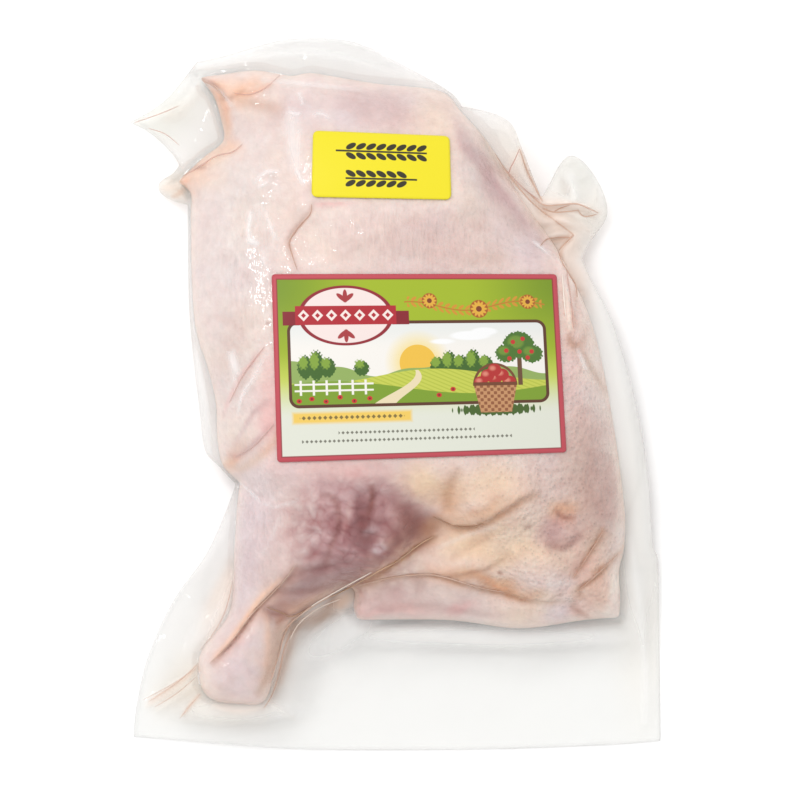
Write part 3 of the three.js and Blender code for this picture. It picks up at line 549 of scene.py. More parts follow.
def calf_share(x, y):
    """1 over the grainy dark muscle of the calf, 0 away from it."""
    middle_x, middle_y, reach_x, reach_y = CALF
    return np.exp(-((((x - middle_x) / reach_x) ** 2 + ((y - middle_y) / reach_y) ** 2) ** 1.5))


def plumpness(x, y):
    """Thickness and edge radius at each place, blended from the masses near it."""
    weights = np.zeros(x.shape)
    thickness = np.zeros(x.shape)
    edge = np.zeros(x.shape)
    for mx, my, mass_thickness, mass_edge in MASSES.values():
        weight = ((x - mx) ** 2 + (y - my) ** 2 + MASS_REACH**2) ** -2.5
        weights += weight
        thickness += weight * mass_thickness
        edge += weight * mass_edge
    return thickness / weights, edge / weights


def fold_relief(x, y, folds):
    """Height that the folds add: ridges and grooves, and lips that rise on one side of their way."""
    relief = np.zeros(x.shape)
    for kind, rise, reach, _, _, _, route in folds.values():
        gap, place, side = line_distance(x, y, route, 4 * reach)
        if kind == "lip":
            fall = np.where(side > 0, reach, reach * 0.25)
            relief += 0.5 * np.sign(side) * rise * taper(place) * np.exp(-gap / fall)
        else:
            sign = 1.0 if kind == "ridge" else -1.0
            relief += sign * rise * taper(place) * np.exp(-((gap / reach) ** 2))
    return relief


# ------------------------------------------------------------------------------------ stickers


def label_surface(label, x, y):
    dx = x - label["middle"][0]
    dy = y - label["middle"][1]
    tilt = label["slope"][0] * dx + label["slope"][1] * dy
    return label["height"] + tilt - dx**2 / (2 * label["bend"][0]) - dy**2 / (2 * label["bend"][1])


def seat_labels(x, y, surface):
    """Draws the body's surface to the smooth seat that each label needs."""
    height = surface
    for label in LABELS.values():
        outside = np.maximum(0.0, -depth_inside(x, y, np.array(label["corners"], float)) - LABEL_MARGIN)
        share = smoothstep(1 - outside / LABEL_BLEND, 0, 1)
        height = height + (label_surface(label, x, y) - height) * share
    return height


# -------------------------------------------------------------------------------- wrapped body

MEAT = outline(MEAT_OUTLINE)
FILM = outline(FILM_OUTLINE)
CENTRE = (FILM.min(axis=0) + FILM.max(axis=0)) / 2


def to_metres(points):
    """From the plan frame in millimetres to the part's frame in metres."""
    shifted = np.array(points, float)
    shifted[:, :2] -= CENTRE
    return shifted / 1000.0


def columns(x, y, folds, relief, inset):
    """What each vertical line through the body needs: depth, top, edge radius and widest height."""
    depth = depth_inside(x, y, MEAT) - inset
    thickness, edge = plumpness(x, y)
    waist = WIDEST_AT * thickness
    across = np.maximum(0.0, (edge - np.maximum(depth, 0.0)) / edge)
    rounding = np.sqrt(np.maximum(0.05, 1 - across**2))
    lift = (fold_relief(x, y, folds) + relief) * smoothstep(depth, 0.0, FOLD_FADE)
    surface = waist + (thickness + lift - waist) * rounding
    top = waist + (seat_labels(x, y, surface) - waist) / rounding
    return depth, top, edge, waist


def body_field(depth, top, edge, waist, z, floor):
    """Signed distance, roughly: negative inside the body, whose flat underside is at the floor."""
    upper = z >= waist
    reach = np.where(upper, edge, edge * UNDERCUT)
    half = np.where(upper, top - waist, waist - floor)
    across = np.maximum(0.0, (reach - depth) / reach)
    return (np.hypot(across, (z - waist) / half) - 1) * np.minimum(reach, half)


def surface_net(values, low, step):
    """Points and outward quads round the negative part of a field on a regular grid."""
    shape = [n - 1 for n in values.shape]
    total = np.zeros((*shape, 3))
    count = np.zeros(shape)

    def block(corner):
        return tuple(slice(o, o + n) for o, n in zip(corner, shape))

    for start in np.ndindex(2, 2, 2):
        for axis in range(3):
            if start[axis]:
                continue
            end = list(start)
            end[axis] = 1
            va, vb = values[block(start)], values[block(end)]
            crossing = (va < 0) != (vb < 0)
            t = np.where(crossing, va / np.where(crossing, va - vb, 1.0), 0.0)
            total += crossing[..., None] * np.array(start, float)
            total[..., axis] += crossing * t
            count += crossing
    used = count > 0
    number = np.full(shape, -1)
    number[used] = np.arange(used.sum())
    points = low + step * (np.argwhere(used) + total[used] / count[used][:, None])

    quads = []
    inside = values < 0
    for axis in range(3):
        first = [slice(1, -1)] * 3
        second = [slice(1, -1)] * 3
        first[axis], second[axis] = slice(0, -1), slice(1, None)
        here = inside[tuple(first)]
        change = here != inside[tuple(second)]
        at = np.argwhere(change) + [0 if k == axis else 1 for k in range(3)]
        u, v = np.eye(3, dtype=int)[(axis + 1) % 3], np.eye(3, dtype=int)[(axis + 2) % 3]
        ring = [number[tuple((at - back).T)] for back in (0 * u, u, u + v, v)]
        faces = np.stack(ring, axis=1)
        outward = here[change]
        quads.append(np.where(outward[:, None], faces, faces[:, ::-1]))
    return points, np.vstack(quads)


def relax(points, quads, rounds):
    """Evens out a net of quads without moving its flat underside."""
    a = np.concatenate([quads[:, k] for k in range(4)])
    b = np.concatenate([quads[:, (k + 1) % 4] for k in range(4)])
    degree = np.bincount(a, minlength=len(points)) + np.bincount(b, minlength=len(points))
    flat = points[:, 2] < points[:, 2].min() + 0.05
    for _ in range(rounds):
        mean = np.zeros_like(points)
        for k in range(3):
            ahead = np.bincount(a, points[b, k], len(points))
            mean[:, k] = ahead + np.bincount(b, points[a, k], len(points))
        mean /= degree[:, None]
        moved = points + RELAX * (mean - points)
        moved[flat, 2] = points[flat, 2]
        points = moved
    return points


def grid(low, step, sizes):
    """Plan places of a regular grid."""
    return np.meshgrid(*[start + step * np.arange(n) for start, n in zip(low[:2], sizes)], indexing="ij")


def body_mesh(step, folds, relief, inset, floor, sink):
    """The wrapped body at one fineness: its points, in the plan frame, and its quads."""
    low = np.array([*(MEAT.min(axis=0) - 3 * step), floor - 1.5 * step])
    high = np.array([*(MEAT.max(axis=0) + 3 * step), FIELD_TOP])
    sizes = [int(math.ceil((h - l) / step)) + 1 for l, h in zip(low, high)]
    x, y = grid(low, step, sizes)
    z = low[2] + step * np.arange(sizes[2])
    depth, top, edge, waist = columns(x, y, folds, relief(x, y), inset)
    values = body_field(
        depth[..., None], top[..., None] - sink, edge[..., None], waist[..., None], z[None, None, :], floor
    )
    return surface_net(values, low, step)


# -------------------------------------------------------------------------------- mesh helpers


def add_object(name, data):
    made = bpy.data.objects.new(name, data)
    bpy.context.scene.collection.objects.link(made)
    return made


def two_plies(x, y, top, bottom):
    """The points of an upper sheet, and after them those of the sheet under it."""
    return np.vstack([np.column_stack([x, y, height]) for height in (top, bottom)])


def add_piece(name, points, faces, material, replaced):
    mesh = bpy.data.meshes.new(name)
    mesh.from_pydata(to_metres(points).tolist(), [], [list(map(int, face)) for face in faces])
    mesh.polygons.foreach_set("use_smooth", [True] * len(mesh.polygons))
    mesh.validate()
    mesh.update()
    piece = add_object(name, mesh)
    mesh.materials.append(material)
    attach(piece, "root")
    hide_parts(replaced)
    return piece


def paint(piece, name, colours):
    """Stores one colour per point, linear, under a name that materials read."""
    layer = piece.data.color_attributes.new(name, "FLOAT_COLOR", "POINT")
    rgba = np.ones((len(colours), 4))
    rgba[:, : colours.shape[1]] = colours
    layer.data.foreach_set("color", rgba.ravel())


def scalar(piece, name, values):
    """Stores one number per point under a name that materials read."""
    layer = piece.data.attributes.new(name, "FLOAT", "POINT")
    layer.data.foreach_set("value", np.asarray(values, float))


def linear(red, green, blue):
    """Linear colour from 0-255 sRGB."""
    c = np.array([red, green, blue]) / 255.0
    return np.where(c <= 0.04045, c / 12.92, ((c + 0.055) / 1.055) ** 2.4)


def seen(red, green, blue):
    """Linear colour of a surface that shows the given sRGB in this studio's light."""
    return np.maximum(0.006, (linear(red, green, blue) - REFLECTED) / STUDIO_LEVEL)


# --------------------------------------------------------------------------- colours of the meat

SKIN = seen(237, 217, 210)
CLEAR = linear(254, 254, 254)
TONES = {
    # a lit tone of painted light, for the meat's shaded steep edges and the pale ridge right_light
    "rim": linear(251, 231, 219),
    "pale": seen(248, 234, 225),
    "milky": seen(233, 219, 214),
    "peach": seen(242, 214, 200),
    "blush": seen(216, 188, 181),
    "rose": seen(234, 186, 182),
    "lilac": seen(222, 203, 206),
    "purple": seen(200, 165, 166),
    "mauve": seen(182, 136, 138),
    "maroon": seen(120, 66, 64),
    "wine": seen(138, 82, 74),
    "rust": seen(150, 88, 56),
    "gold": seen(168, 112, 72),
    "brown": seen(178, 128, 98),
    "tan": seen(196, 162, 149),
    "fat": seen(240, 208, 178),
    "cream": seen(242, 222, 202),
    "apricot": seen(218, 170, 136),
    "orange": seen(246, 200, 172),
    "amber": seen(236, 172, 134),
    "grey_film": linear(252, 252, 251.4),
    "warm_film": linear(251.5, 248.5, 243.5),
    "flesh_film": linear(251, 239, 230),
    # tint of the film's creases, also used for the painted shadow beside the drumstick
    "crease_and_shadow_film": linear(236, 204, 180),
    "lobe_film": linear(249, 249, 246.5),
    "thread": linear(232, 204, 186),
    "thread_dark": linear(204, 168, 140),
    "thread_pink": linear(240, 216, 208),
    "thread_pale": linear(250, 240, 230),
    "thread_faint": linear(248, 234, 227),
}

# The tone of the warm painted shade that spreads round a fold of a given tone.
CREASE_SHADE_TONES = {
    "rust": "amber", "gold": "apricot", "brown": "apricot", "orange": "peach", "wine": "mauve",
    "purple": "blush",
}
CREASE_SHADE_REACH = 3.2
# Share and reach of the pale rim, partly painted light on the meat's shaded steep sides.
RIM_LIGHT_SHARE = 0.45
RIM_LIGHT_REACH = 2.4
CALF_TINT = (0.42, 0.8, 0.78)

# tone, strength, x, y, half length, half width, turn in degrees
PATCHES = {
    "left_side": ("milky", 0.85, -54, 55, 66, 16, 88),
    "column_right": ("peach", 0.3, -38, 55, 22, 6, 85),
    "column_low": ("rose", 0.85, -42, -4, 18, 7, 84),
    "column_mottle": ("blush", 0.3, -58, 18, 22, 6, 70),
    "top_lilac": ("lilac", 0.7, -30, 98, 16, 10, -10),
    "top_muscle": ("purple", 0.6, -8, 102, 18, 9, -5),
    "top_cream": ("fat", 0.35, 15, 98, 10, 8, 0),
    "flap": ("orange", 0.75, -57, 108, 9, 5, 20),
    "flap_sheet": ("peach", 0.8, -50, 111, 7, 3, 5),
    "flap_low": ("amber", 0.5, -62, 99, 9, 2.5, 100),
    "tip": ("orange", 0.6, -68, 80, 13, 4, 42),
    "tip_end": ("amber", 0.7, -76, 75, 5, 3, 20),
    "crown": ("cream", 0.3, 22, 76, 12, 12, 0),
    "flank_band": ("purple", 0.85, 33.5, 76, 22, 3.4, -57),
    "flank_band_low": ("blush", 0.35, 45, 56, 14, 5, -60),
    "flank_rim": ("peach", 0.6, 45, 70, 22, 4, -57),
    "mound": ("blush", 0.75, 16, 52, 34, 12, -4),
    "mound_right": ("tan", 0.3, 32, 46, 10, 4, 0),
    "flank_white": ("lilac", 0.75, 49, 48, 10, 5, -55),
    "flank_lilac": ("pale", 0.7, 70, 8, 24, 7, -80),
    "flank_high": ("peach", 0.5, 60, 34, 16, 6, -62),
    "flank_pink": ("rose", 0.4, 62, 12, 30, 5, -84),
    "right_low": ("tan", 0.8, 69, -32, 28, 14, -88),
    "right_dark": ("mauve", 0.22, 72, -26, 24, 5, -84),
    "right_edge": ("cream", 0.5, 79.5, -34, 18, 2.5, 90),
    "knee_orange": ("apricot", 0.45, -57, -21, 7, 4, 40),
    "knee_tip": ("amber", 0.7, -59, -25, 5, 2.5, 30),
    "calf_left": ("lilac", 0.9, -53, -50, 26, 9, 86),
    "calf": ("mauve", 1.0, -14, -48, 26, 21, 25),
    "calf_blue": ("rose", 0.7, -24, -26, 18, 3.5, 0),
    "calf_violet": ("purple", 0.6, -22, -33, 15, 5, -8),
    "calf_deep": ("maroon", 0.9, -11.5, -43.5, 11, 5, 80),
    "calf_low": ("maroon", 0.6, -29, -64.5, 16, 6, 20),
    "calf_foot": ("wine", 0.6, -8, -58.5, 14, 5, 34),
    "fat_top": ("fat", 0.95, 11, -32, 11, 6, -22),
    "fat_valley": ("apricot", 0.75, 19, -38, 9, 4, 80),
    "pale_mound": ("fat", 0.8, 34, -32, 16, 8, 0),
    "mound_edge": ("blush", 0.5, 52, -33, 12, 8, -60),
    "crease_shade": ("apricot", 0.7, 30, -42, 12, 3.5, 20),
    "belly": ("fat", 0.95, 34, -54, 27, 9, -4),
    "belly_light": ("cream", 0.6, 44, -48, 14, 6, 20),
    "belly_low": ("apricot", 0.9, 34, -67, 20, 3.2, -12),
    "belly_gold": ("gold", 0.35, 40, -69.5, 14, 1.3, -12),
    "calf_ball": ("wine", 0.85, 4.5, -45, 9, 6.5, -45),
    "calf_below": ("wine", 0.7, 3.5, -51.5, 10, 5, 40),
    "calf_end": ("brown", 0.7, 11, -47.5, 5, 3.5, 40),
    "stain": ("gold", 0.6, -0.5, -60.8, 3.2, 1.3, 20),
    "haunch_purple": ("mauve", 0.7, 55, -48, 8, 5, 10),
    "haunch_orange": ("apricot", 0.7, 59, -41.5, 5, 3.5, 0),
    "haunch_pale": ("cream", 0.7, 60, -57, 5, 4.5, 0),
    "haunch_pink": ("rose", 0.35, 66, -60, 9, 4, -60),
    "corner": ("apricot", 0.4, 70, -71, 8, 6, 0),
    "corner_rim": ("pale", 0.6, 77, -66, 12, 2.5, 80),
    "calf_base": ("rust", 0.35, -20, -69, 17, 3.5, 22),
    # The next two lilac dabs: a painted highlight on a nodule of the calf, then a pale nodule partly painted
    # as a highlight.
    "nodule_highlight_high": ("lilac", 0.2, -9, -46.3, 3.4, 1.1, 28),
    "pale_nodule_and_highlight": ("lilac", 0.6, -7, -53.6, 3.2, 2.2, -5),
    "mark": ("wine", 0.6, 44.5, -46.5, 1.8, 1.0, 15),
    "dot": ("rust", 0.8, 36, -62.5, 0.7, 0.7, 0),
    "dot_low": ("rust", 0.5, 33.5, -67.5, 0.7, 0.7, 0),
    "dot_column": ("rust", 0.6, -47.5, 26.5, 0.8, 0.8, 0),
    "ankle_shade": ("rust", 0.6, -38, -75, 11, 4.5, 8),
    "ankle_side": ("brown", 0.6, -42, -86, 11, 3.5, 75),
    "shin": ("lilac", 0.6, -58, -74, 14, 7, 60),
    "knob": ("lilac", 0.9, -56, -94, 14, 9, 75),
    "knob_side": ("apricot", 0.4, -45, -96, 12, 3, 75),
    "strip": ("blush", 0.55, 2, -73, 20, 7, 0),
    "strip_pink": ("rose", 0.5, 2, -76, 14, 4, -10),
    "strip_red": ("wine", 0.3, 9, -67, 3, 2, 20),
    "strip_spot": ("rose", 0.9, 22, -75, 5, 3, 0),
    "strip_mauve": ("mauve", 0.35, 0, -69.5, 5, 2.5, 10),
    "strip_mark": ("mauve", 0.35, -5, -76, 4, 2, -20),
    "strip_stain": ("amber", 0.6, 34, -67.5, 7, 1.2, -20),
    "strip_left": ("rose", 0.8, -11, -77, 4, 2.5, 0),
    "strip_cream": ("cream", 0.75, 46, -77, 10, 5, 0),
    "strip_grey": ("lilac", 0.8, 58, -77, 6, 3.5, 10),
}

# x, y, half length, half width, turn: where the skin is drawn into fine upright wrinkles
STREAKED = {
    "mound": (4, 54, 36, 14, 0),
    "column": (-52, 45, 30, 12, 90),
    "left_of_calf": (-46, -46, 20, 10, 90),
}


def patch_share(x, y, px, py, half_length, half_width, turn):
    """1 in the middle of a soft-edged ellipse and 0 away from it."""
    c = math.cos(math.radians(turn))
    s = math.sin(math.radians(turn))
    along = ((x - px) * c + (y - py) * s) / half_length
    across = ((y - py) * c - (x - px) * s) / half_width
    return np.exp(-((along**2 + across**2) ** 1.3))


def spread(x, y, base, patches, lines, raggedness):
    """Linear colour at each place: soft ragged patches, then a wide painted crease shade round the strokes of
    some tones, then a stroke along each line.
    """
    wx = x + raggedness * rough_noise(x, y, size=9.0, seed=3, octaves=4)
    wy = y + raggedness * rough_noise(x, y, size=9.0, seed=9, octaves=4)
    colour = np.tile(base, (len(x), 1))
    for tone, strength, *place in patches.values():
        share = strength * patch_share(wx, wy, *place)[:, None]
        colour = colour * (1 - share) + TONES[tone] * share

    # The strokes stray far less from their routes than the patches from their places.
    wx = x + 0.12 * (wx - x)
    wy = y + 0.12 * (wy - y)
    strokes = []
    for kind, _, _, tone, strength, half_width, route in lines.values():
        gap, place, side = line_distance(wx, wy, route, 7 * half_width)
        off = np.abs(gap * side + 0.5 * half_width) if kind == "lip" else gap
        strokes.append((tone, strength * taper(place), off / half_width))
    # A wide warm painted shade round each crease whose tone has one, then the strokes themselves.
    for tone, strength, off in strokes:
        if tone in CREASE_SHADE_TONES:
            share = (0.5 * strength * np.exp(-((off / CREASE_SHADE_REACH) ** 2)))[:, None]
            colour = colour * (1 - share) + TONES[CREASE_SHADE_TONES[tone]] * share
    for tone, strength, off in strokes:
        share = (strength * np.exp(-(off**2)))[:, None]
        colour = colour * (1 - share) + TONES[tone] * share
    return colour


def meat_colours(x, y):
    """Patches and folds, blotches, and a pale rim where the skin turns down: partly the edge's own colour,
    partly painted light against the shade on the steep sides.
    """
    colour = spread(x, y, SKIN, PATCHES, FOLDS, 3.5)
    coarse = rough_noise(x, y, size=6.0, seed=21, octaves=4)
    fine = rough_noise(x, y, size=1.8, seed=27, octaves=2)
    blotch = (coarse + 0.6 * fine)[:, None]
    mottle = rough_noise(x, y, size=13.0, seed=51, octaves=4)[:, None]
    for share, tone in ((mottle, "lilac"), (-mottle, "cream")):
        share = 0.5 * np.clip(share, 0, 1)
        colour = colour * (1 - share) + np.minimum(TONES[tone], 1.15 * colour) * share
    deeper = 0.08 + 0.09 * smoothstep(x, 40.0, 60.0) * smoothstep(-y, 10.0, 25.0)
    colour = colour * (1 + deeper[:, None] * blotch * np.array([0.5, 1.0, 1.05]))
    inward = np.maximum(0.0, depth_inside(x, y, MEAT))
    rim = RIM_LIGHT_SHARE * np.exp(-((inward / RIM_LIGHT_REACH) ** 2))[:, None]
    return np.clip(colour * (1 - rim) + TONES["rim"] * rim, 0, 1)


# ------------------------------------------------------------------------------------ materials


def new_material(name):
    material = bpy.data.materials.new(name)
    material.use_nodes = True
    material.node_tree.nodes.clear()
    return material, material.node_tree


def feed(tree, target, value):
    """Links a socket to an input, or sets a plain value on it."""
    if isinstance(value, bpy.types.NodeSocket):
        tree.links.new(value, target)
    else:
        target.default_value = value


def node(tree, kind, **values):
    """A node with properties by name and inputs by `in_Name`; a socket value is linked."""
    made = tree.nodes.new(kind)
    for key, value in values.items():
        if key.startswith("in_"):
            wanted = key[3:].replace("_", " ")
            feed(tree, made.inputs[int(wanted) if wanted.isdigit() else wanted], value)
        else:
            setattr(made, key, value)
    return made


def operate(tree, kind, operation, values):
    """The outputs of a Math or Vector Math node over values in the order of its inputs."""
    made = node(tree, kind, operation=operation)
    for target, value in zip(made.inputs, values):
        feed(tree, target, value)
    return made.outputs


def math_node(tree, operation, *values):
    return operate(tree, "ShaderNodeMath", operation, values)[0]


def noise(tree, place, scale, detail, roughness=0.5):
    return node(
        tree, "ShaderNodeTexNoise", in_Vector=place, in_Scale=scale, in_Detail=detail, in_Roughness=roughness
    ).outputs


def mapped(tree, value, before, after=(0.0, 1.0), interpolation="LINEAR"):
    """A value moved from one range to another and held inside it."""
    made = node(tree, "ShaderNodeMapRange", interpolation_type=interpolation, in_Value=value)
    for name, number in zip(("From Min", "From Max", "To Min", "To Max"), (*before, *after)):
        made.inputs[name].default_value = number
    return made.outputs["Result"]


def object_place(tree):
    return node(tree, "ShaderNodeTexCoord").outputs["Object"]


def stored_number(tree, name):
    return node(tree, "ShaderNodeAttribute", attribute_name=name).outputs["Fac"]


def stored_colour(tree, name):
    return node(tree, "ShaderNodeVertexColor", layer_name=name).outputs["Color"]


def show(tree, shader):
    node(tree, "ShaderNodeOutputMaterial", in_Surface=shader.outputs[0])


def meat_material():
    """Raw skin: painted colour, mottling, raised follicles with dark pits, and a moist surface."""
    material, tree = new_material("raw_skin")
    place = object_place(tree)
    goose, streak, calf = [stored_number(tree, name) for name in ("goose", "streak", "calf")]
    mottle = noise(tree, place, 300.0, 5.0, 0.65)["Fac"]
    shade = mapped(tree, mottle, (0.3, 0.7), (0.93, 1.06))
    follicle = node(tree, "ShaderNodeTexVoronoi", in_Vector=place, in_Scale=560.0, in_Randomness=0.85)
    distance = follicle.outputs["Distance"]
    pit = mapped(tree, distance, (0.08, 0.28), (0.8, 1.0), "SMOOTHSTEP")
    pit_share = math_node(tree, "MULTIPLY_ADD", math_node(tree, "SUBTRACT", pit, 1.0), goose, 1.0)
    level = math_node(tree, "MULTIPLY", shade, pit_share)

    # Fine upright wrinkles: noise drawn out along the part's length.
    drawn_out = operate(tree, "ShaderNodeVectorMath", "MULTIPLY", (place, (1050.0, 210.0, 300.0)))[0]
    hair = noise(tree, drawn_out, 1.0, 2.0)["Fac"]
    hair_lift = math_node(tree, "MULTIPLY", math_node(tree, "SUBTRACT", hair, 0.5), streak)
    level = math_node(tree, "MULTIPLY_ADD", hair_lift, 0.24, level)
    painted = stored_colour(tree, "skin")
    tint = node(tree, "ShaderNodeVectorMath", operation="SCALE", in_0=painted, in_Scale=level)

    # The calf's muscle: light beads between darker vessels.
    bent = noise(tree, place, 150.0, 1.0)["Color"]
    shift = operate(tree, "ShaderNodeVectorMath", "MULTIPLY_ADD", (bent, (0.006, 0.006, 0.006), place))[0]
    bead = node(tree, "ShaderNodeTexVoronoi", in_Vector=shift, in_Scale=240.0, in_Randomness=1.0)
    bead_lift = math_node(tree, "MULTIPLY_ADD", bead.outputs["Distance"], -1.5, 0.75)
    grain = math_node(tree, "MULTIPLY", bead_lift, calf)
    vessel = noise(tree, shift, 110.0, 4.0, 0.7)["Fac"]
    dark = mapped(tree, vessel, (0.35, 0.65), (-0.45, 0.35))
    calf_level = math_node(tree, "MULTIPLY_ADD", math_node(tree, "ADD", bead_lift, dark), calf, 0.0)
    calf_tint = operate(
        tree, "ShaderNodeVectorMath", "MULTIPLY_ADD", (CALF_TINT, calf_level, (1.0, 1.0, 1.0))
    )[0]
    grained = operate(tree, "ShaderNodeVectorMath", "MULTIPLY", (tint.outputs[0], calf_tint))[0]

    dome = math_node(tree, "MULTIPLY", math_node(tree, "SUBTRACT", 0.6, distance), goose)
    height = math_node(tree, "MULTIPLY_ADD", dome, 1.4, mottle)
    height = math_node(tree, "MULTIPLY_ADD", grain, 1.5, height)
    height = math_node(tree, "MULTIPLY_ADD", hair_lift, 1.2, height)
    bump = node(tree, "ShaderNodeBump", in_Strength=0.6, in_Distance=0.0009, in_Height=height)
    skin = node(tree, "ShaderNodeBsdfPrincipled", in_Base_Color=grained, in_Normal=bump.outputs[0])
    skin.inputs["Roughness"].default_value = 0.42
    skin.inputs["Subsurface Weight"].default_value = 0.15
    skin.inputs["Subsurface Radius"].default_value = (1.0, 0.45, 0.35)
    skin.inputs["Subsurface Scale"].default_value = 0.002
    show(tree, skin)
    return material


def film_material(name, crinkle_size, crinkle_depth, most_gloss):
    """Clear film: light passes tinted by the painted veil, with some haze, which in places is painted
    highlight and in others painted light over the meat's shadow, and a sharp gloss.
    """
    material, tree = new_material(name)
    crinkle = noise(tree, object_place(tree), 1000.0 / crinkle_size, 3.0)["Fac"]
    depth = crinkle_depth / 1000.0
    bump = node(tree, "ShaderNodeBump", in_Strength=0.6, in_Distance=depth, in_Height=crinkle)
    veil = stored_colour(tree, "veil")
    clear = node(tree, "ShaderNodeBsdfTransparent", in_Color=veil).outputs[0]
    milk = node(tree, "ShaderNodeBsdfDiffuse", in_Color=veil).outputs[0]
    haze = stored_number(tree, "haze")
    body = node(tree, "ShaderNodeMixShader", in_0=haze, in_1=clear, in_2=milk).outputs[0]
    gloss = node(tree, "ShaderNodeBsdfGlossy", in_Roughness=0.09, in_Normal=bump.outputs[0]).outputs[0]
    fresnel = node(tree, "ShaderNodeFresnel", in_IOR=1.45).outputs[0]
    share = math_node(tree, "MINIMUM", fresnel, most_gloss)
    show(tree, node(tree, "ShaderNodeMixShader", in_0=share, in_1=body, in_2=gloss))
    return material


# ----------------------------------------------------------------------------------------- print


class Ink:
    """A number over the print, built from Math nodes, so that a shape is written as a formula."""

    tree = None

    def __init__(self, socket):
        self.socket = socket

    @classmethod
    def math(cls, operation, *values):
        sockets = [value.socket if isinstance(value, Ink) else value for value in values]
        return cls(math_node(cls.tree, operation, *sockets))

    def __add__(self, other):
        return Ink.math("ADD", self, other)

    def __sub__(self, other):
        return Ink.math("SUBTRACT", self, other)

    def __rsub__(self, other):
        return Ink.math("SUBTRACT", other, self)

    def __mul__(self, other):
        return Ink.math("MULTIPLY", self, other)

    __rmul__ = __mul__

    def __neg__(self):
        return Ink.math("MULTIPLY", self, -1.0)


def high(a, b):
    return Ink.math("MAXIMUM", a, b)


def low(a, b):
    return Ink.math("MINIMUM", a, b)


def size_of(a):
    return Ink.math("ABSOLUTE", a)


def sine(a):
    return Ink.math("SINE", a)


def repeat(a, pitch):
    """Place inside one of many equal cells, from -pitch / 2 to pitch / 2."""
    return Ink.math("WRAP", a, pitch / 2, -pitch / 2)


def vector_math(operation, *values):
    return operate(Ink.tree, "ShaderNodeVectorMath", operation, values)


def joined(a, b):
    """A place from two numbers."""
    return node(Ink.tree, "ShaderNodeCombineXYZ", in_0=a.socket, in_1=b.socket).outputs[0]


def oval(place, cu, cv, ru, rv, turn=0.0):
    """Signed distance, roughly, to an ellipse turned by some degrees."""
    if turn:
        c, s = math.cos(math.radians(turn)), math.sin(math.radians(turn))
        along = vector_math("DOT_PRODUCT", place, (c, s, 0))["Value"]
        across = vector_math("DOT_PRODUCT", place, (-s, c, 0))["Value"]
        place = joined(Ink(along), Ink(across))
        cu, cv = cu * c + cv * s, cv * c - cu * s
    moved = vector_math("MULTIPLY_ADD", place, (1 / ru, 1 / rv, 0), (-cu / ru, -cv / rv, 0))["Vector"]
    reach = min(ru, rv)
    return Ink.math("MULTIPLY_ADD", Ink(vector_math("LENGTH", moved)["Value"]), reach, -reach)


def box(u, v, cu, cv, half_u, half_v):
    return high(size_of(u - cu) - half_u, size_of(v - cv) - half_v)


def rounded(u, v, cu, cv, half_u, half_v, radius):
    a = size_of(u - cu) - (half_u - radius)
    b = size_of(v - cv) - (half_v - radius)
    out_a = high(a, 0.0)
    out_b = high(b, 0.0)
    return Ink.math("SQRT", out_a * out_a + out_b * out_b) + low(high(a, b), 0.0) - radius


def coverage(distance, soft=0.12):
    """1 inside a shape and 0 outside it, with an edge of the given width."""
    made = Ink.math("MULTIPLY_ADD", distance, -1.0 / soft, 0.5)
    made.socket.node.use_clamp = True
    return made


class Print:
    """Layers of ink on a sticker, each a colour where its shape is."""

    def __init__(self, tree, colour):
        self.tree = tree
        Ink.tree = tree
        stored = node(tree, "ShaderNodeAttribute", attribute_name="print")
        self.place = vector_math("MULTIPLY", stored.outputs["Vector"], (PRINT_UNIT,) * 3)["Vector"]
        split = node(tree, "ShaderNodeSeparateXYZ", in_Vector=self.place)
        self.u = Ink(split.outputs[0])
        self.v = Ink(split.outputs[1])
        self.colour = self.ink(*colour)

    @staticmethod
    def ink(red, green, blue):
        """Linear ink that shows the given sRGB: the stickers face the lamp, so they get more light."""
        return (*(linear(red, green, blue) / STICKER_LEVEL), 1)

    def lay(self, colour, cover, strength=1.0):
        """Lays ink over the colour so far, where the cover is 1."""
        mix = node(self.tree, "ShaderNodeMix", data_type="RGBA")
        if strength != 1.0:
            cover = cover * strength
        self.tree.links.new(cover.socket, mix.inputs["Factor"])
        feed(self.tree, mix.inputs[6], self.colour)
        mix.inputs[7].default_value = self.ink(*colour)
        self.colour = mix.outputs[2]

    def dab(self, colour, cu, cv, ru, rv, turn=0.0, soft=0.12, strength=1.0):
        """Lays an ellipse of ink."""
        self.lay(colour, coverage(oval(self.place, cu, cv, ru, rv, turn), soft), strength)


def slope_cover(value, start, end):
    """0 at start and 1 at end, smooth between."""
    return Ink(mapped(Ink.tree, value.socket, (start, end), interpolation="SMOOTHSTEP"))


def sticker_material(name, draw, colour):
    """Coated paper with its print."""
    material, tree = new_material(name)
    sheet = Print(tree, colour)
    draw(sheet)
    fibre = noise(tree, object_place(tree), 900.0, 2.0)["Fac"]
    bump = node(tree, "ShaderNodeBump", in_Strength=0.15, in_Distance=0.0001, in_Height=fibre)
    paper = node(tree, "ShaderNodeBsdfPrincipled", in_Base_Color=sheet.colour, in_Normal=bump.outputs[0])
    paper.inputs["Roughness"].default_value = 0.38
    show(tree, paper)
    return material


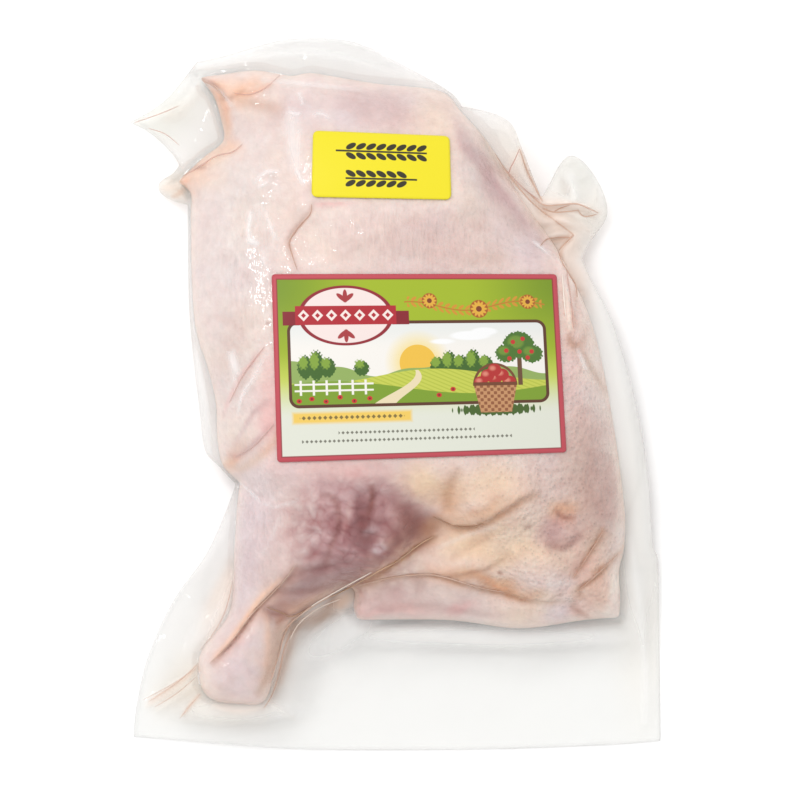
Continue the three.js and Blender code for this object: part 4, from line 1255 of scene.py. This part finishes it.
def draw_picture(sheet):
    """A farm landscape in a framed panel on green, with a badge, a garland and a basket of apples.

    Places are millimetres of the print from its lower left corner.
    """
    u, v, place = sheet.u, sheet.v, sheet.place
    side = size_of(u - 51.0)
    sheet.lay((206, 218, 96), slope_cover(v, 14.0, 30.0))
    sheet.lay((166, 188, 34), slope_cover(v, 24.0, 40.0))
    sheet.lay((104, 138, 20), slope_cover(v, 30.0, 62.0) * slope_cover(side, 16.0, 52.0), 0.75)

    panel = rounded(u, v, 51.0, 33.5, 45.5, 14.5, 3.0)
    inside = coverage(panel)
    sheet.lay((250, 246, 240), inside)
    sheet.lay((222, 232, 232), inside * slope_cover(v, 38.0, 48.0), 0.5)

    sun = oval(place, 51.0, 33.5, 6.5, 6.5)
    sheet.lay((250, 226, 140), coverage(sun - 3.0, 5.0), 0.7)
    sheet.lay((244, 196, 70), coverage(sun))
    for cu, cv, ru, rv in ((70, 43, 7, 1.6), (75, 44.4, 4.5, 1.4), (60, 41, 4, 0.9)):
        sheet.dab((255, 255, 255), cu, cv, ru, rv, soft=0.5)

    ragged = 0.35 * sine(u * 4.1) * sine(v * 3.7)
    far = v - 32.0 - 2.2 * sine(u * 0.11 + 0.6) - 0.8 * sine(u * 0.31)
    sheet.lay((150, 178, 96), inside * coverage(far))
    bushes = (
        (58, 3.2), (62, 4.6), (66, 3.6), (70.5, 5.0), (75, 3.4), (11, 4.0), (15, 5.2), (19, 3.4),
        (31, 2.6),
    )
    for cu, height in bushes:
        bush = oval(place, cu, 31.0 + height * 0.4, 2.7, height) + ragged
        sheet.lay((64, 104, 34), coverage(bush, 0.2))
        lit = oval(place, cu - 0.7, 32.2 + height * 0.5, 1.6, height * 0.55) + ragged
        sheet.lay((134, 168, 58), coverage(lit, 0.5))
    middle = v - 29.0 - 2.4 * sine(u * 0.075 + 3.6)
    fields = inside * coverage(middle)
    sheet.lay((204, 212, 84), fields)
    sheet.lay((172, 186, 56), fields * coverage(size_of(repeat(u * 0.7 + v * 1.6, 2.2)) - 0.35, 0.4), 0.6)
    near = v - 25.0 - 2.6 * sine(u * 0.06 + 0.4)
    sheet.lay((128, 162, 40), inside * coverage(near))

    path = size_of(u - 44.0 - 7.0 * sine(v * 0.24 + 0.8)) - (33.0 - v) * 0.28
    sheet.lay((240, 224, 186), inside * coverage(high(path, v - 31.0)))
    bars = low(size_of(v - 26.6) - 0.32, size_of(v - 24.4) - 0.32)
    posts = high(size_of(repeat(u, 4.6)) - 0.4, size_of(v - 25.4) - 2.6)
    fence = high(low(bars, posts), size_of(u - 21.0) - 14.0)
    sheet.lay((250, 246, 238), coverage(fence))

    blooms = ((8.5, 20.9), (13, 21.6), (18, 20.6), (23, 22), (28, 20.6), (33.5, 21.4), (58, 22), (63, 24))
    for cu, cv in blooms:
        sheet.dab((206, 52, 44), cu, cv, 0.95, 0.8)
        sheet.dab((90, 24, 24), cu, cv, 0.3, 0.3)
    sheet.lay((110, 76, 48), coverage(box(u, v, 87.0, 30.0, 0.8, 5.0)))
    for cu, cv, r in ((87, 39.5, 5.6), (82.5, 36.4, 3.8), (91.5, 36.2, 3.8)):
        sheet.lay((76, 118, 40), coverage(oval(place, cu, cv, r, r * 0.85) + ragged, 0.2))
        sheet.dab((126, 160, 56), cu - 1, cv + 1, r * 0.5, r * 0.4, soft=0.8, strength=0.7)
    for cu, cv in ((85, 40.5), (88.5, 41.6), (91.5, 37), (82.5, 37.4), (87.2, 37), (83.5, 34.6), (90, 34.8)):
        sheet.dab((204, 52, 44), cu, cv, 0.8, 0.8)
    sheet.lay((94, 52, 30), coverage(size_of(panel) - 0.55))

    draw_garland(sheet, u, v)
    draw_badge(sheet, u, v, place)
    draw_basket(sheet, u, v, place)

    sheet.lay((250, 206, 70), coverage(box(u, v, 27.0, 15.0, 21.0, 1.9), 1.2), 0.9)
    # row, middle, half length, pitch and half height of the three rows of small diamonds
    for row, mid, reach, pitch, thick in (
        (15.0, 27.0, 18.5, 1.9, 0.75), (9.6, 46.0, 24.0, 1.6, 0.6), (6.8, 46.0, 37.0, 1.6, 0.6),
    ):
        gems = size_of(repeat(u - mid, pitch)) + size_of(v - row) - thick
        sheet.lay((70, 66, 46), coverage(high(gems, size_of(u - mid) - reach), 0.25), 0.8)

    rim = rounded(u, v, 51.0, 32.5, 51.0, 32.5, 1.2)
    sheet.lay((200, 76, 88), coverage(-(rim + 1.7)))
    sheet.lay((148, 38, 48), coverage(size_of(rim + 1.75) - 0.22), 0.85)


def draw_garland(sheet, u, v):
    """Ears of grain and three flowers along the top."""
    height = v - 53.6 - 1.6 * sine(u * 0.16)
    pitch = 2.4
    half = size_of(u - 72.0)
    sheet.lay((196, 126, 40), coverage(high(size_of(height) - 0.25, half - 25.0)))
    cell = joined(repeat(u, pitch), height)
    for way in (1.0, -1.0):
        grains = oval(cell, 0.0, 1.05 * way, 1.2, 0.52, 38.0 * way)
        sheet.lay((214, 150, 48), coverage(high(grains, half - 10 * pitch)))
    for cu, cv, r in ((56.0, 55.5, 2.7), (73.5, 52.5, 3.2), (91.0, 55.0, 2.6)):
        sheet.dab((176, 92, 30), cu, cv, r, r)
        for turn in range(0, 180, 30):
            sheet.dab((232, 178, 62), cu, cv, r * 0.92, r * 0.2, turn)
        sheet.dab((132, 60, 28), cu, cv, r * 0.32, r * 0.32)


def draw_badge(sheet, u, v, place):
    """An oval badge with a ribbon of diamonds across it and a sprig above and below."""
    badge = oval(place, 26.0, 50.5, 17.0, 10.5)
    sheet.lay((150, 32, 46), coverage(badge))
    sheet.lay((250, 232, 228), coverage(badge + 0.9))
    for cv, way in ((55.8, 1.0), (44.9, -1.0)):
        for lean in (38.0, 142.0, 90.0):
            angle = math.radians(lean * way)
            leaf = oval(place, 26.0 + 1.5 * math.cos(angle), cv + 1.5 * math.sin(angle), 2.3, 0.8, lean * way)
            sheet.lay((172, 56, 60), coverage(leaf))
    sheet.lay((138, 24, 38), coverage(box(size_of(u - 26.0), v, 19.5, 49.6, 3.0, 2.4)))
    sheet.lay((182, 34, 48), coverage(box(u, v, 26.0, 50.6, 18.0, 3.3)))
    diamond = high(size_of(repeat(u - 26.0, 5.0)) + size_of(v - 50.6) - 2.0, size_of(u - 26.0) - 17.0)
    sheet.lay((252, 236, 230), coverage(diamond))
    sheet.lay((182, 34, 48), coverage(diamond + 1.1))


def draw_basket(sheet, u, v, place):
    """A basket of apples that stands across the panel's lower edge."""
    leaf_bed = oval(place, 78.0, 16.4, 14.0, 2.0) + 0.3 * sine(u * 2.6) + 0.15 * sine(u * 5.9)
    sheet.lay((70, 100, 34), coverage(leaf_bed, 0.2))
    handle = size_of(oval(place, 78.0, 25.0, 7.4, 7.6)) - 0.45
    sheet.lay((120, 72, 40), coverage(high(handle, 25.0 - v)))
    for cu, cv in ((73.0, 26.2), (78.0, 27.4), (83.0, 26.2), (75.4, 28.6), (80.6, 28.8), (78.0, 30.6)):
        sheet.dab((186, 44, 42), cu, cv, 2.4, 2.2)
        sheet.dab((236, 150, 128), cu - 0.7, cv + 0.6, 1.0, 0.8, soft=0.8, strength=0.8)
    body = high(size_of(u - 78.0) - 5.6 - (v - 16.0) * 0.22, size_of(v - 20.6) - 5.2)
    sheet.lay((204, 150, 104), coverage(body))
    sheet.lay((150, 92, 56), coverage(high(body, 0.1 - sine(u * 2.6) * sine(v * 2.6)), 0.3))
    sheet.lay((118, 66, 38), coverage(box(u, v, 78.0, 25.6, 7.8, 0.6)))


def draw_yellow(sheet):
    """Two lying ears of grain, dark on yellow."""
    u, v = sheet.u, sheet.v
    pitch = 3.6
    for row, first, last, way in ((17.8, -3.5, 4.5, 1.0), (7.4, -2.5, 3.5, -1.0)):
        a = (u - 24.5) * way
        ear = high(first * pitch - a, a - last * pitch)
        shape = high(size_of(v - row) - 0.35, size_of(a) - last * pitch)
        cell = joined(repeat(a, pitch), v - row)
        for lean in (1.0, -1.0):
            shape = low(shape, high(oval(cell, 0.0, 1.85 * lean, 2.0, 1.0, 30.0 * lean), ear))
        sheet.lay((50, 46, 24), coverage(shape))


# ------------------------------------------------------------------------------------- pieces


def skin_relief(x, y):
    """Small unevenness of the skin, and the grain of the calf's muscle."""
    soft = 0.7 * rough_noise(x, y, size=11.0, seed=5) + 0.25 * rough_noise(x, y, size=3.5, seed=7, octaves=2)
    return soft + 1.6 * calf_share(x, y) * (0.5 - cell_distance(x, y, size=4.2, seed=71))


def film_relief(x, y):
    """The film bridges the finer grain of the skin, and creases where it is drawn tight."""
    soft = 0.7 * rough_noise(x, y, size=11.0, seed=5)
    grain = 0.25 * calf_share(x, y) * (0.5 - cell_distance(x, y, size=3.4, seed=71))
    return soft + grain + fold_relief(x, y, FILM_CREASES)


def make_meat(material):
    points, quads = body_mesh(MEAT_STEP, FOLDS, skin_relief, inset=FILM_GAP, floor=MEAT_FLOOR, sink=FILM_GAP)
    points = relax(points, quads, rounds=1)
    piece = add_piece("chicken_legs", points, quads, material, "bag")
    x, y = points[:, 0], points[:, 1]
    paint(piece, "skin", meat_colours(x, y))
    goose = (0.3 + 0.7 * smoothstep(x + 0.25 * y, 0.0, 40.0)) * (1 - 0.6 * smoothstep(y, 0.0, 40.0))
    scalar(piece, "calf", calf_share(x, y))
    streaks = [patch_share(x, y, *place) for place in STREAKED.values()]
    scalar(piece, "streak", np.max(streaks, axis=0))
    scalar(piece, "goose", goose * (1 - calf_share(x, y)) * smoothstep(y, -90.0, -70.0))


def make_film_body(material):
    points, quads = body_mesh(FILM_STEP, FOLDS, film_relief, inset=0.0, floor=0.0, sink=0.0)
    points = relax(points, quads, rounds=2)
    piece = add_piece("film_tight", points, quads, material, "bag")
    x, y = points[:, 0], points[:, 1]
    paint(piece, "veil", np.tile(CLEAR, (len(x), 1)))
    scalar(piece, "haze", 0.01 + line_haze(x, y, FILM_CREASES))
    return piece


def line_haze(x, y, creases):
    """Milkiness along creases: whitening of creased film, and on the tight film also painted highlight."""
    haze = np.zeros(len(x))
    for _, _, _, _, strength, half_width, route in creases.values():
        gap, place, _ = line_distance(x, y, route, 3 * half_width)
        haze = np.maximum(haze, strength * taper(place) * np.exp(-((gap / half_width) ** 2)))
    return haze


def loose_film_height(x, y):
    """How high the loose film hangs, and how far outside the body's outline each place is."""
    outside = np.maximum(0.0, -depth_inside(x, y, MEAT))
    waist = WIDEST_AT * plumpness(x, y)[0]
    height = waist * np.exp(-((outside / DRAPE) ** 2))
    for lx, ly, lift, radius in FILM_LIFTS.values():
        height += lift * np.exp(-((x - lx) ** 2 + (y - ly) ** 2) / radius**2)
    return height, outside


def make_film_skirt(material):
    """Two plies of loose film round the meat, joined at the pouch's outline."""
    margin = 2 * SKIRT_STEP
    low_corner = FILM.min(axis=0) - margin
    sizes = np.ceil((FILM.max(axis=0) + margin - low_corner) / SKIRT_STEP).astype(int) + 1
    x, y = grid(low_corner, SKIRT_STEP, sizes)
    film_depth = depth_inside(x, y, FILM)
    meat_depth = depth_inside(x, y, MEAT)
    keep = (film_depth > -0.5 * SKIRT_STEP) & (meat_depth < SKIRT_OVERLAP)
    cells = keep[:-1, :-1] & keep[1:, :-1] & keep[1:, 1:] & keep[:-1, 1:]
    around = np.zeros(x.shape, int)
    for dx, dy in itertools.product((0, 1), repeat=2):
        around[dx : dx + cells.shape[0], dy : dy + cells.shape[1]] += cells
    used = around > 0

    # The outermost points move along the slope of the distance onto the pouch's outline.
    slope = np.stack(np.gradient(film_depth, SKIRT_STEP), axis=-1)
    slope /= np.maximum(np.linalg.norm(slope, axis=-1, keepdims=True), 1e-6)
    border = used & (around < 4) & (film_depth < 2 * SKIRT_STEP)
    snap = np.where(border, film_depth, 0.0)[..., None]
    x = x - (snap * slope)[..., 0]
    y = y - (snap * slope)[..., 1]

    height, outside = loose_film_height(x, y)
    slack = smoothstep(film_depth, 0.0, 5.0)
    wrinkle = 0.9 * rough_noise(x, y, size=14.0, seed=31, octaves=2) * slack
    pleats = fold_relief(x, y, FILM_FOLDS) * smoothstep(film_depth, -0.5, 3.0)
    # Beside the body the upper ply rises to the tight film and the lower one is tucked under it.
    rise = 2.0 * np.exp(-outside / 3.0)
    tuck = 8.0 * np.exp(-outside / 2.2)
    top = np.maximum(0.3, height + 0.6 + rise + wrinkle + pleats)
    bottom = np.maximum(0.05, top - PLY_GAP * slack - tuck)
    top = np.maximum(top, bottom + 0.02)

    number = np.full(x.shape, -1)
    count = int(used.sum())
    number[used] = np.arange(count)
    points = two_plies(x[used], y[used], top[used], bottom[used])
    i, j = np.nonzero(cells)
    ring = np.stack([number[i, j], number[i + 1, j], number[i + 1, j + 1], number[i, j + 1]], axis=1)
    edges = {(int(quad[k]), int(quad[(k + 1) % 4])) for quad in ring for k in range(4)}
    side = [(b, a, a + count, b + count) for a, b in edges if (b, a) not in edges]
    faces = np.vstack([ring, ring[:, ::-1] + count, np.array(side)])
    piece = add_piece("film_skirt", points, faces, material, "bag")

    px, py = points[:, 0], points[:, 1]
    rim = np.exp(-((np.concatenate([film_depth[used], film_depth[used]]) / 0.9) ** 2))
    veil = spread(px, py, TONES["grey_film"], FILM_PATCHES, FILM_FOLDS, 2.0)
    paint(piece, "veil", veil * (1 - 0.05 * rim[:, None]))
    # Milk, partly painted light over the meat's shadow, then a milkier seam and milky creases.
    milk = np.full(len(px), 0.01)
    for strength, *place in FILM_MILK_AND_PAINTED_LIGHT.values():
        milk = np.maximum(milk, strength * patch_share(px, py, *place))
    scalar(piece, "haze", milk + 0.12 * rim + 0.4 * (1 - milk) * line_haze(px, py, FILM_FOLDS))
    return piece


def make_pleats(films, material):
    """Threads of pinched film, each a closed tapering tube half sunk in the film it lies on."""
    below = []
    for film in films:
        places = [vertex.co for vertex in film.data.vertices]
        below.append(BVHTree.FromPolygons(places, [face.vertices for face in film.data.polygons]))
    down = Vector((0, 0, -1))
    points, faces, veil, haze = [], [], [], []
    for tone, thickness, milkiness, route in PLEATS.values():
        way = spline(np.array(route, float), 6)
        count = len(way)
        start = to_metres(np.column_stack([way, np.full(count, RAY_START)]))
        hits = [[tree.ray_cast(Vector(place), down)[0] for tree in below] for place in start]
        height = np.array([1000 * max(hit.z for hit in pair if hit) for pair in hits])
        height[1:-1] = (height[:-2] + 2 * height[1:-1] + height[2:]) / 4
        along = np.gradient(way, axis=0)
        across = np.stack([-along[:, 1], along[:, 0]], axis=1) / np.linalg.norm(along, axis=1)[:, None]
        radius = 0.5 * thickness * (0.25 + 0.75 * taper(np.linspace(0, 1, count)))
        first = sum(len(part) for part in points)
        for k in range(PLEAT_SIDES):
            angle = 2 * math.pi * k / PLEAT_SIDES
            plan = way + across * (radius * math.cos(angle))[:, None]
            points.append(np.column_stack([plan, height + PLEAT_LIFT + radius * math.sin(angle)]))
        faces += tube_faces(first, count)
        veil += [TONES[tone]] * (PLEAT_SIDES * count)
        haze += [milkiness] * (PLEAT_SIDES * count)
    piece = add_piece("film_pleats", np.vstack(points), faces, material, "bag")
    paint(piece, "veil", np.array(veil))
    scalar(piece, "haze", haze)


def tube_faces(first, count):
    """Outward faces of a closed tube, whose points run side by side along its length."""

    def corner(side, i):
        return first + (side % PLEAT_SIDES) * count + i

    faces = []
    sides = range(PLEAT_SIDES)
    for i in range(count - 1):
        faces += [(corner(k, i), corner(k + 1, i), corner(k + 1, i + 1), corner(k, i + 1)) for k in sides]
    faces.append(tuple(corner(-k, 0) for k in sides))
    faces.append(tuple(corner(k, count - 1) for k in sides))
    return faces


def label_point(label, s, t):
    """Plan place of a point of the label, from 0 to 1 across and up."""
    top_left, top_right, low_right, low_left = [np.array(c, float) for c in label["corners"]]
    s = s[..., None]
    t = t[..., None]
    return (low_left * (1 - s) + low_right * s) * (1 - t) + (top_left * (1 - s) + top_right * s) * t


def make_label(name, material):
    """A thin sheet on the film with rounded corners; its print runs in its own millimetres."""
    label = LABELS[name]
    width, height = label["size"]
    steps = [np.linspace(0, 1, int(length / LABEL_CELL) + 1) for length in (width, height)]
    s, t = np.meshgrid(*steps, indexing="ij")
    u, v = s * width, t * height
    radius = label["round"]
    cu = np.clip(u, radius, width - radius)
    cv = np.clip(v, radius, height - radius)
    away = np.hypot(u - cu, v - cv)
    shrink = np.where(away > radius, radius / np.maximum(away, 1e-9), 1.0)
    u = cu + (u - cu) * shrink
    v = cv + (v - cv) * shrink
    plan = label_point(label, u / width, v / height)
    x, y = plan[..., 0], plan[..., 1]
    waves = 0.1 * rough_noise(x, y, size=16.0, seed=41)
    top = label_surface(label, x, y) + LABEL_LIFT + LABEL_THICKNESS + waves
    count = x.size
    points = two_plies(x.ravel(), y.ravel(), top.ravel(), top.ravel() - LABEL_THICKNESS)
    number = np.arange(count).reshape(x.shape)
    cells = [number[:-1, :-1], number[1:, :-1], number[1:, 1:], number[:-1, 1:]]
    ring = np.stack(cells, axis=-1).reshape(-1, 4)
    border = np.concatenate([number[:, 0], number[-1, 1:], number[-2::-1, -1], number[0, -2:0:-1]])
    following = np.roll(border, -1)
    side = np.stack([following, border, border + count, following + count], axis=1)
    faces = np.vstack([ring, ring[:, ::-1] + count, side])
    piece = add_piece(name + "_print", points, faces, material, name)
    place = np.stack([u.ravel(), v.ravel(), np.zeros(count)], axis=1) / PRINT_UNIT
    layer = piece.data.attributes.new("print", "FLOAT_VECTOR", "POINT")
    layer.data.foreach_set("vector", np.vstack([place, place]).ravel())


# -------------------------------------------------------------------------------------- studio

PICTURE_MM = 790 * 0.351  # the photograph's pixels and the millimetres each spans
SUBJECT_HEIGHT = 0.04  # metres above the floor at which that scale holds
VIEW_MIDDLE = (-0.7, -0.35)
CAMERA_HEIGHT = 4.0
SENSOR_WIDTH = 36.0
WORLD_LEVEL = 0.88
FLOOR_HALF = 3.0
FLOOR_LEVEL = -0.0006


def make_floor():
    material, tree = new_material("floor")
    grain = noise(tree, object_place(tree), 30.0, 2.0)["Fac"]
    shade = mapped(tree, grain, (0.0, 1.0), (0.93, 0.96))
    show(tree, node(tree, "ShaderNodeBsdfDiffuse", in_Color=shade))
    mesh = bpy.data.meshes.new("floor")
    ways = ((-1, -1), (1, -1), (1, 1), (-1, 1))
    corners = [(sx * FLOOR_HALF, sy * FLOOR_HALF, FLOOR_LEVEL) for sx, sy in ways]
    mesh.from_pydata(corners, [], [(0, 1, 2, 3)])
    mesh.materials.append(material)
    add_object("floor", mesh)


def make_light(name, place, size, power, shines=True):
    data = bpy.data.lights.new(name, "AREA")
    data.shape = "DISK"
    data.size = size
    data.energy = power
    lamp = add_object(name, data)
    lamp.location = place
    lamp.rotation_euler = (-Vector(place)).to_track_quat("-Z", "Y").to_euler()
    lamp.visible_glossy = shines


def make_studio():
    scene = bpy.context.scene
    scene.view_settings.view_transform = "Standard"
    world = bpy.data.worlds.new("studio")
    world.use_nodes = True
    background = world.node_tree.nodes["Background"]
    background.inputs["Color"].default_value = (1, 1, 1, 1)
    background.inputs["Strength"].default_value = WORLD_LEVEL
    scene.world = world
    make_light("key", (-0.3, 0.65, 1.85), 0.8, 15, shines=False)
    make_light("glint_left", (-1.2, 0.25, 1.25), 0.14, 1.6)
    make_light("glint_top", (-0.7, 1.0, 1.3), 0.12, 1.2)


def make_camera():
    data = bpy.data.cameras.new("camera")
    data.sensor_width = SENSOR_WIDTH
    data.lens = SENSOR_WIDTH * (CAMERA_HEIGHT - SUBJECT_HEIGHT) / (PICTURE_MM / 1000.0)
    data.clip_end = 20.0
    camera = add_object("camera", data)
    x, y = (np.array(VIEW_MIDDLE) - CENTRE) / 1000.0
    camera.location = (x, y, CAMERA_HEIGHT)
    bpy.context.scene.camera = camera


make_camera()
make_studio()
make_floor()
make_meat(meat_material())
films = [
    make_film_body(film_material("film_tight", crinkle_size=7.0, crinkle_depth=1.2, most_gloss=0.09)),
    make_film_skirt(film_material("film_skirt", crinkle_size=14.0, crinkle_depth=1.0, most_gloss=0.2)),
]
make_pleats(films, film_material("film_pleats", crinkle_size=7.0, crinkle_depth=0.5, most_gloss=0.09))
picture = sticker_material("picture_print", draw_picture, (232, 234, 220))
make_label("label_picture", picture)
yellow = sticker_material("yellow_print", draw_yellow, (247, 231, 26))
make_label("label_yellow", yellow)
